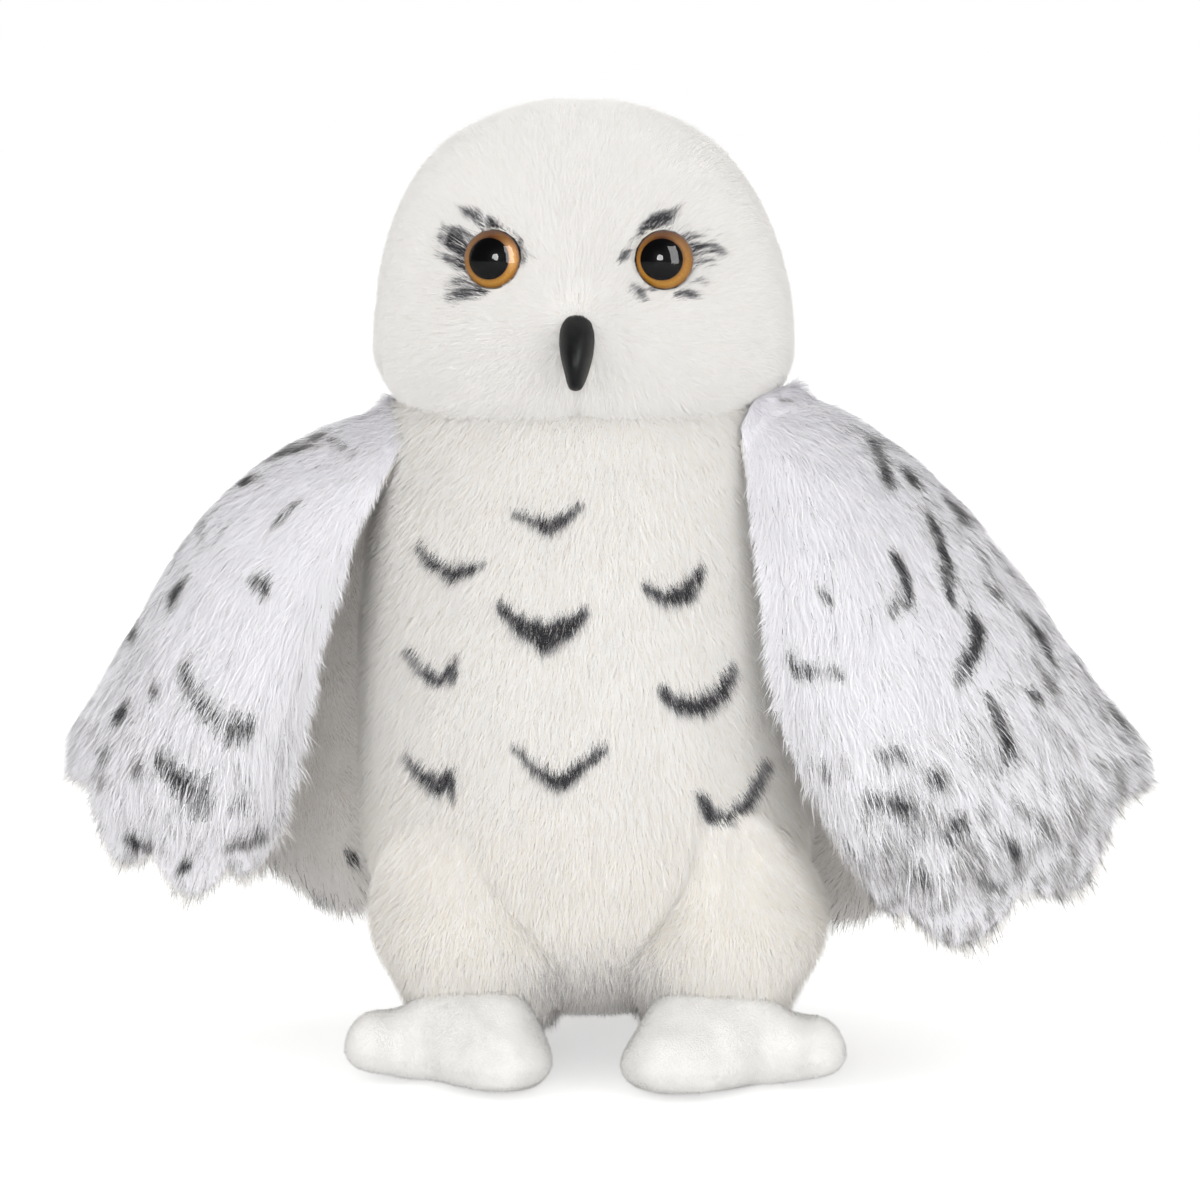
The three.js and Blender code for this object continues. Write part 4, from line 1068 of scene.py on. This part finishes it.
for number, side in enumerate(SIDES):
    rng = np.random.default_rng(500 + number)
    core, body = WING["wadding"], f"wing_{side}"
    outer, known = wing_sheet(f"{body}_outer", side, lambda f: core * f + 0.2, lambda f: core * f + 0.9,
                              [wing_backing], 112, 52, first=-0.035)
    dress(outer, body, "wing_pile", f"wing_outer_panel_{side}", fill=0.5)
    for coat, count, low_mm, high_mm, width, lift, parts in (
            ("pile", 345000, 6.5, 8.5, 0.27, 0.34, 1), ("guard_hair", 87000, 8.5, 14.0, 0.28, 0.34, 2)):
        roots, normals, extra = scatter(outer, count, rng, extra=known)
        # No guard hair at the hem, so that its lobes stay clear
        shown = (extra[:, 2] > 0.3) & ((parts == 1) | (extra[:, 1] < 0.84))
        roots, normals, extra = roots[shown], normals[shown], extra[shown]
        facing = (normals @ TO_EYE > 0.02) & (extra[:, 0] < 0.62)
        u, v = extra[:, 0], extra[:, 1]
        edges = 1 - 0.4 * step(0.07, 0.0, u) * (v < 0.8) + 0.35 * step(0.94, 1.0, u) - 0.4 * step(0.86, 0.96, v)
        length = (low_mm + (high_mm - low_mm) * step(0.2, 0.9, v)) * edges * (1 + 0.3 * wander(roots, 15, 8))
        length = length * uneven(rng, len(v), 0.18, 0.5, 1.5) * (0.6 + 0.4 * step(0.0, 0.12, v))
        clumps = wander(roots * np.array([1, 1, 0.35]), 2.2, 9)
        fur = plant(f"{body}_{coat}", roots, normals, wing_flow(extra), rng, length, width, lift, wing_fibres,
                    wing_shade(side, facing, extra[:, :2], clumps), parts=parts, droop=0.9, tuft=0.3, tuft_mm=5,
                    stray=0.16, relief=0.06)
        dress(fur, body, "wing_pile")

    wadding, _ = wing_sheet(f"{body}_fill", side, lambda f: -core * f, lambda f: core * f, [fibrefill], 70, 32)
    fill_soft(wadding, f"wing_wadding_{side}", body)
    lining, known = wing_sheet(f"{body}_lining", side, lambda f: -core * f - 0.9, lambda f: -core * f - 0.2,
                               [lining_backing], 92, 42)
    roots, normals, extra = scatter(lining, 164000, rng, extra=known)
    shown = extra[:, 2] < 0.7
    roots, normals, extra = roots[shown], normals[shown], extra[shown]
    v = extra[:, 1]
    length = 3.5 + 6.5 * step(0.82, 0.97, v) + 4.0 * step(0.95, 1.0, extra[:, 0])
    length *= uneven(rng, len(v), 0.18, 0.5, 1.5)
    fur = plant(f"{body}_lining_pile", roots, normals, wing_flow(extra), rng, length, 0.34, 0.42, lining_fibres,
                lining_shade(side, v), tuft=0.25, stray=0.2, relief=0.08)
    dress(lining, body, "wing_lining", f"wing_lining_{side}", fill=0.4)
    dress(fur, body, "wing_lining")

# ---------------------------------------------------------------- tail
TAIL = {"root_back": 40.0, "root_height": 43.0, "length": 56.0, "tip_height": 2.6, "root_half": 22.0,
        "tip_half": 34.0, "wadding": 4.5, "roundness": 12.0}


def tail_surface(u, v):
    across = 2 * u - 1
    half = TAIL["root_half"] + (TAIL["tip_half"] - TAIL["root_half"]) * v
    back = TAIL["root_back"] + TAIL["length"] * v - TAIL["roundness"] * across**2 * v
    drop = (TAIL["root_height"] - TAIL["tip_height"]) * (1 - (1 - v) ** 1.6)
    return np.stack([5 * (1 - v) + across * half, back, TAIL["root_height"] - drop], axis=1)


def tail_shade(uv):
    """Two rows of small marks on the tail, as on the wings."""
    ink = np.zeros(len(uv))
    for u, v in ((0.22, 0.5), (0.5, 0.58), (0.78, 0.5), (0.12, 0.8), (0.38, 0.88), (0.64, 0.88), (0.9, 0.8)):
        du = (uv[:, 0] - u) / 0.075
        dv = (uv[:, 1] - v) / 0.04 + 0.5 * du**2
        ink = np.maximum(ink, 0.8 * step(1.3, 0.4, np.hypot(du, dv)))
    return lambda places, chance: dyed(ink, chance, wander(places, 2.2, 13))


def tail_sheet(name, low, high, materials, columns=60, rows=44):
    """A thin panel between two heights above the tail's middle surface. Its vertices keep down, u and v."""
    grid = np.meshgrid(np.linspace(0.01, 0.99, columns + 1), np.linspace(0.12, 0.93, rows + 1))
    u, v = (g.ravel() for g in grid)
    across, down = tangents(tail_surface, u, v)
    normal = unit(np.cross(across, down))
    normal *= np.where(normal[:, 2:] < 0, -1, 1)
    full = fade(u, 0.25) * fade(v, 0.25)
    at = tail_surface(u, v)
    points = np.concatenate([at + normal * low(full)[:, None], at + normal * high(full)[:, None]])
    points[:, 2] = np.maximum(points[:, 2], 0.15)
    e = len(u)
    cells, rim = sheet_grid(columns, rows)
    faces = [face for a, b, c, d in cells for face in ((b + e, c + e, d + e, a + e), (d, c, b, a))]
    faces += [(b + e, a + e, a, b) for a, b in rim]
    piece = face_outwards(smooth(mesh_piece(name, points, faces, materials)))
    return piece, np.tile(np.c_[unit(down), u, v], (2, 1))


for number, (name, node, near, far, up, count, lowest) in enumerate((
        ("tail_top", "tail_upper_panel", 0.2, 0.9, 1, 70000, 1.0),
        ("tail_under", "tail_under_panel", -0.9, -0.2, -1, 15000, 6.0))):
    rng = np.random.default_rng(600 + number)
    core = up * TAIL["wadding"]
    sheet, known = tail_sheet(name, lambda f: core * f + near, lambda f: core * f + far, [pile_backing])
    roots, normals, extra = scatter(sheet, count, rng, lambda at: at[:, 2] > lowest, extra=known)
    u, v = extra[:, 3], extra[:, 4]
    length = (8.0 + 4.0 * step(0.75, 0.95, v) if up > 0 else 3.0) * uneven(rng, len(roots), 0.2, 0.5, 1.5)
    # Near the floor the pile is short enough to stay above it
    length = np.minimum(length * (1 + 0.35 * wander(roots, 8, 8)), 3 + 0.75 * roots[:, 2])
    # The pile fans out over the tail's sides
    flow = extra[:, :3] + np.outer(1.6 * (u - 0.5), [1, 0, 0])
    fur = plant(f"{name}_pile", roots, normals, flow, rng, length, 0.32, 0.5, wing_fibres,
                tail_shade(extra[:, 3:]) if up > 0 else None, tuft=0.5, tuft_mm=5, stray=0.4, relief=0.14)
    dress(sheet, "torso", "white_pile", node, fill=0.7)
    dress(fur, "torso", "white_pile")


# ---------------------------------------------------------------- eyes and beak
def aim_frame(at, out, up):
    """Places points made about +Z on the face, looking out along the eye or the beak."""
    pitch, yaw = math.pi / 2 - math.radians(up), math.radians(out)
    tip = np.array([[1, 0, 0], [0, math.cos(pitch), -math.sin(pitch)], [0, math.sin(pitch), math.cos(pitch)]])
    turn = np.array([[math.cos(yaw), -math.sin(yaw), 0], [math.sin(yaw), math.cos(yaw), 0], [0, 0, 1]])
    return lambda points: points @ (turn @ tip).T + at


EYE = {"radius": 9.0, "pupil": 6.25, "dome": 5.2, "flange": 1.2, "seat": 46.51, "out": 14, "up": 6}
# Seen through the lens, the right pupil stands nearer to the beak
PUPIL_OFF = {"left": 0.0, "right": -1.5}
amber, acrylic = amber_paint(), clear_acrylic()
# The dome is part of a ball, over a low straight edge
ball = (EYE["radius"] ** 2 + EYE["dome"] ** 2) / (2 * EYE["dome"])
base = EYE["flange"] + 0.9


def dome(r, room):
    """How high the dome stands at a distance from its middle, less a room below it."""
    return base - room + np.sqrt(ball**2 - r**2) - (ball - EYE["dome"])


def iris_ring(side, turns=96, steps=10):
    """Points, faces and UV of the ring between pupil and rim: X runs round it and Y outwards."""
    inner, outer = EYE["pupil"] - 0.3, EYE["radius"] - 0.25
    points, faces, uvs = [], [], []
    for i in range(turns):
        angle = 2 * math.pi * i / turns
        for k in range(steps + 1):
            r = inner + (outer - inner) * k / steps
            x, y = r * math.cos(angle) + PUPIL_OFF[side] * (1 - k / steps), r * math.sin(angle)
            points.append([x, y, dome(math.hypot(x, y), 0.55)])
    for i in range(turns):
        for k in range(steps):
            a, b = i * (steps + 1) + k, (i + 1) % turns * (steps + 1) + k
            faces.append((a, a + 1, b + 1, b))
            uvs += [((i + p) / turns, (k + q) / steps) for p, q in ((0, 0), (0, 1), (1, 1), (1, 0))]
    return np.array(points), faces, np.array(uvs, np.float32)


for side, sign in SIDES.items():
    seat = aim_frame(np.array([EYES[side][0], -EYE["seat"], EYES[side][2]]), sign * EYE["out"], EYE["up"])
    outline = [(EYE["radius"] - 0.3, base - 0.3), (EYE["radius"], base - 0.1)]
    outline += [(r, dome(r, 0.0)) for r in EYE["radius"] * np.cos(np.linspace(0.02, math.pi / 2, 26))]
    lens = place(lathe(f"eye_dome_{side}", outline, 96, [acrylic]), seat)
    dress(lens, "head", "clear_plastic", f"eye_lens_{side}")
    # The lens magnifies what lies behind it, so pupil and iris are made as they look: right under the dome
    outline = [(0.01, base - 1.0), (EYE["pupil"], base - 1.0)]
    outline += [(r, dome(r, 0.35)) for r in EYE["pupil"] * np.cos(np.linspace(0, math.pi / 2, 14))]

    def under_dome(at):
        high = at[:, 2] > base - 0.9
        at[:, 0] += PUPIL_OFF[side]
        at[:, 2] = np.where(high, dome(np.hypot(at[:, 0], at[:, 1]), 0.35), at[:, 2])
        return seat(at)

    pupil = place(lathe(f"eye_pupil_disc_{side}", outline, 72, [eye_black]), under_dome)
    dress(pupil, "head", "eye_black", f"eye_pupil_{side}")
    points, faces, uvs = iris_ring(side)
    iris = smooth(mesh_piece(f"eye_iris_ring_{side}", seat(points), faces, [amber]))
    iris.data.uv_layers.new(name="ring").data.foreach_set("uv", uvs.ravel())
    dress(iris, "head", "amber_plastic", f"eye_iris_{side}")

# Height from the tip, width and how far the beak stands out, as shares of the largest
BEAK_LEVELS = [[0.0, 0.12, 0.46], [0.02, 0.3, 0.58], [0.06, 0.42, 0.7], [0.14, 0.56, 0.83], [0.28, 0.73, 0.95],
               [0.39, 0.84, 1], [0.51, 0.94, 0.98], [0.63, 0.98, 0.9], [0.75, 0.97, 0.76], [0.86, 0.87, 0.58],
               [0.95, 0.66, 0.36], [1.0, 0.4, 0.2]]
BEAK = {"tip": 215.0, "height": 22.0, "half": 5.4, "depth": 14.0, "seat": 53.06}


def beak_piece():
    levels, around = 48, 48
    spots = np.array(BEAK_LEVELS)
    rows = spline(np.repeat(spots[:, None], levels, axis=1), np.linspace(0, 1, levels))
    points = []
    for rise, width, stand in rows:
        rise = min(max(rise, 0), 1)
        half, ahead_by = BEAK["half"] * max(width, 0.02), BEAK["depth"] * max(stand, 0.05)
        seat = BEAK["seat"] + 4.0 * (1 - rise)
        # Below, the back of the beak curves forward to the tip
        back = 0.8 * ahead_by * max(0.0, 1 - rise / 0.22) ** 1.5
        for k in range(around):
            angle = 2 * math.pi * k / around
            c, s = math.cos(angle), math.sin(angle)
            # A soft ridge runs down the middle of the front
            ahead = back + ((abs(c) ** 0.9) * (ahead_by - back) if c > 0 else c * half * 0.3)
            points.append([half * math.copysign(abs(s) ** 0.92, s), -(seat + ahead),
                           BEAK["tip"] + rise * BEAK["height"]])
    faces = []
    for r in range(levels - 1):
        for i in range(around):
            a, b = r * around + i, r * around + (i + 1) % around
            faces.append((a, b, b + around, a + around))
    faces += [tuple(range(around))[::-1], tuple((levels - 1) * around + i for i in range(around))]
    return face_outwards(smooth(mesh_piece("beak_moulding", points, faces, [beak_plastic])))


dress(beak_piece(), "head", "black_plastic", "beak")


# ---------------------------------------------------------------- what is inside
def soft_copy(node, name, body, made_of=fibrefill, slot="stuffing", voxel_mm=3.0):
    """A soft inner piece: a copy of its CAD solid, merged, remeshed and smoothed to a loose filling."""
    piece = copy_of(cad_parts[node], name)
    for key in list(piece.keys()):
        del piece[key]
    piece.parent = None
    begin(piece)
    bpy.ops.mesh.remove_doubles(threshold=1e-6)
    end()
    modify(piece, "REMESH", mode="VOXEL", voxel_size=voxel_mm * MM)
    modify(piece, "SMOOTH", factor=0.5, iterations=4)
    piece.data.materials.clear()
    piece.data.materials.append(made_of)
    fill_soft(piece, node, body, slot)


soft_copy("head_stuffing", "head_fill", "head")
soft_copy("body_stuffing", "body_fill", "torso")
soft_copy("pellet_bag", "bag_of_pellets", "torso", pellet_cloth, "pellet_cloth")
soft_copy("tail_wadding", "tail_fill", "torso", voxel_mm=1.6)
for node, made_of in (("beak_washer", nylon), ("eye_washer_left", nylon), ("eye_washer_right", nylon),
                      ("eye_back_left", eye_black), ("eye_back_right", eye_black)):
    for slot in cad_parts[node].material_slots:
        slot.material = made_of

# ---------------------------------------------------------------- floor and light
bpy.ops.object.select_all(action="DESELECT")
bpy.ops.mesh.primitive_plane_add(size=12, location=(0, 0, 0))
floor = bpy.context.object
floor.name = "floor"
white_floor = material("studio_floor", "#dedede", 0.9, Specular_IOR_Level=0.1)
tree = white_floor.node_tree
path = add(tree, "ShaderNodeLightPath")
# Far from the owl the lamps reach the floor less, so there it glows more, and near it the shadows stay
at = add(tree, "ShaderNodeTexCoord").outputs["Object"]
far = add(tree, "ShaderNodeVectorMath", {"operation": "LENGTH"}, _0=at)
far = add(tree, "ShaderNodeMapRange", {"interpolation_type": "SMOOTHSTEP"}, Value=far.outputs["Value"],
          From_Min=0.2, From_Max=1.1, To_Min=0.3, To_Max=0.4)
seen = add(tree, "ShaderNodeMath", {"operation": "MULTIPLY_ADD"}, _0=path.outputs["Is Camera Ray"],
           _1=far.outputs[0], _2=0.2)
seen = add(tree, "ShaderNodeMath", {"operation": "MULTIPLY_ADD"}, _0=path.outputs["Is Glossy Ray"], _1=-0.2,
           _2=seen.outputs[0])
tree.nodes["Principled BSDF"].inputs["Emission Color"].default_value = (1, 1, 1, 1)
tree.links.new(seen.outputs[0], tree.nodes["Principled BSDF"].inputs["Emission Strength"])
floor.data.materials.append(white_floor)

world = bpy.data.worlds.new("studio")
bpy.context.scene.world = world
world.use_nodes = True
tree = world.node_tree
path = add(tree, "ShaderNodeLightPath")
# The camera sees white all round. A reflection shows the white backdrop behind the owl and the dim room
# before it.
shown = add(tree, "ShaderNodeMath", {"operation": "MAXIMUM"}, _0=path.outputs["Is Camera Ray"],
            _1=path.outputs["Is Transmission Ray"])
heading = add(tree, "ShaderNodeSeparateXYZ", Vector=add(tree, "ShaderNodeTexCoord").outputs["Generated"])
behind = add(tree, "ShaderNodeMath", {"operation": "MULTIPLY"}, _0=heading.outputs["Y"],
             _1=path.outputs["Is Glossy Ray"])
behind = add(tree, "ShaderNodeMath", {"operation": "GREATER_THAN"}, _0=behind.outputs[0], _1=0.05)
shown = add(tree, "ShaderNodeMath", {"operation": "MAXIMUM"}, _0=shown.outputs[0], _1=behind.outputs[0])
plain = add(tree, "ShaderNodeBackground", Color=(1, 1, 1, 1), Strength=0.74)
dim = add(tree, "ShaderNodeBackground", Color=(1, 1, 1, 1), Strength=0.12)
white = add(tree, "ShaderNodeBackground", Color=(1, 1, 1, 1), Strength=1.0)
around = add(tree, "ShaderNodeMixShader", Fac=path.outputs["Is Glossy Ray"], _1=plain.outputs[0],
             _2=dim.outputs[0])
mixed = add(tree, "ShaderNodeMixShader", Fac=shown.outputs[0], _1=around.outputs[0], _2=white.outputs[0])
tree.links.new(mixed.outputs[0], tree.nodes["World Output"].inputs["Surface"])


def softbox(name, at, size, power, shape="RECTANGLE", mirrored=True):
    bpy.ops.object.light_add(type="AREA", location=at)
    lamp = bpy.context.object
    lamp.name = name
    lamp.rotation_euler = (Vector((0, 0, 0.16)) - Vector(at)).to_track_quat("-Z", "Y").to_euler()
    lamp.data.shape, lamp.data.size, lamp.data.size_y = shape, size[0], size[1]
    lamp.data.energy, lamp.visible_glossy = power, mirrored
    return lamp


# The lamps that light the owl, and two that only its eyes mirror: a round one and a tall strip
softbox("front_dish", (-0.05, -1.72, 0.62), (0.6, 0.6), 7.3, "DISK", mirrored=False)
softbox("left_key", (-1.3, -1.2, 1.1), (1.2, 1.2), 5.8, mirrored=False)
softbox("right_fill", (1.25, -1.15, 0.6), (0.8, 1.2), 4.6, mirrored=False)
softbox("top", (0.0, 0.1, 1.8), (1.4, 1.2), 2.8, mirrored=False)
softbox("back", (0.4, 1.6, 0.9), (1.4, 1.0), 8.0, mirrored=False)
softbox("catchlight", (-0.05, -1.68, 0.61), (0.6, 0.6), 24.0, "DISK").visible_diffuse = False
softbox("streak", (1.22, -1.12, 0.78), (0.85, 1.9), 60.0).visible_diffuse = False

scene = bpy.context.scene
scene.view_settings.view_transform = "Standard"
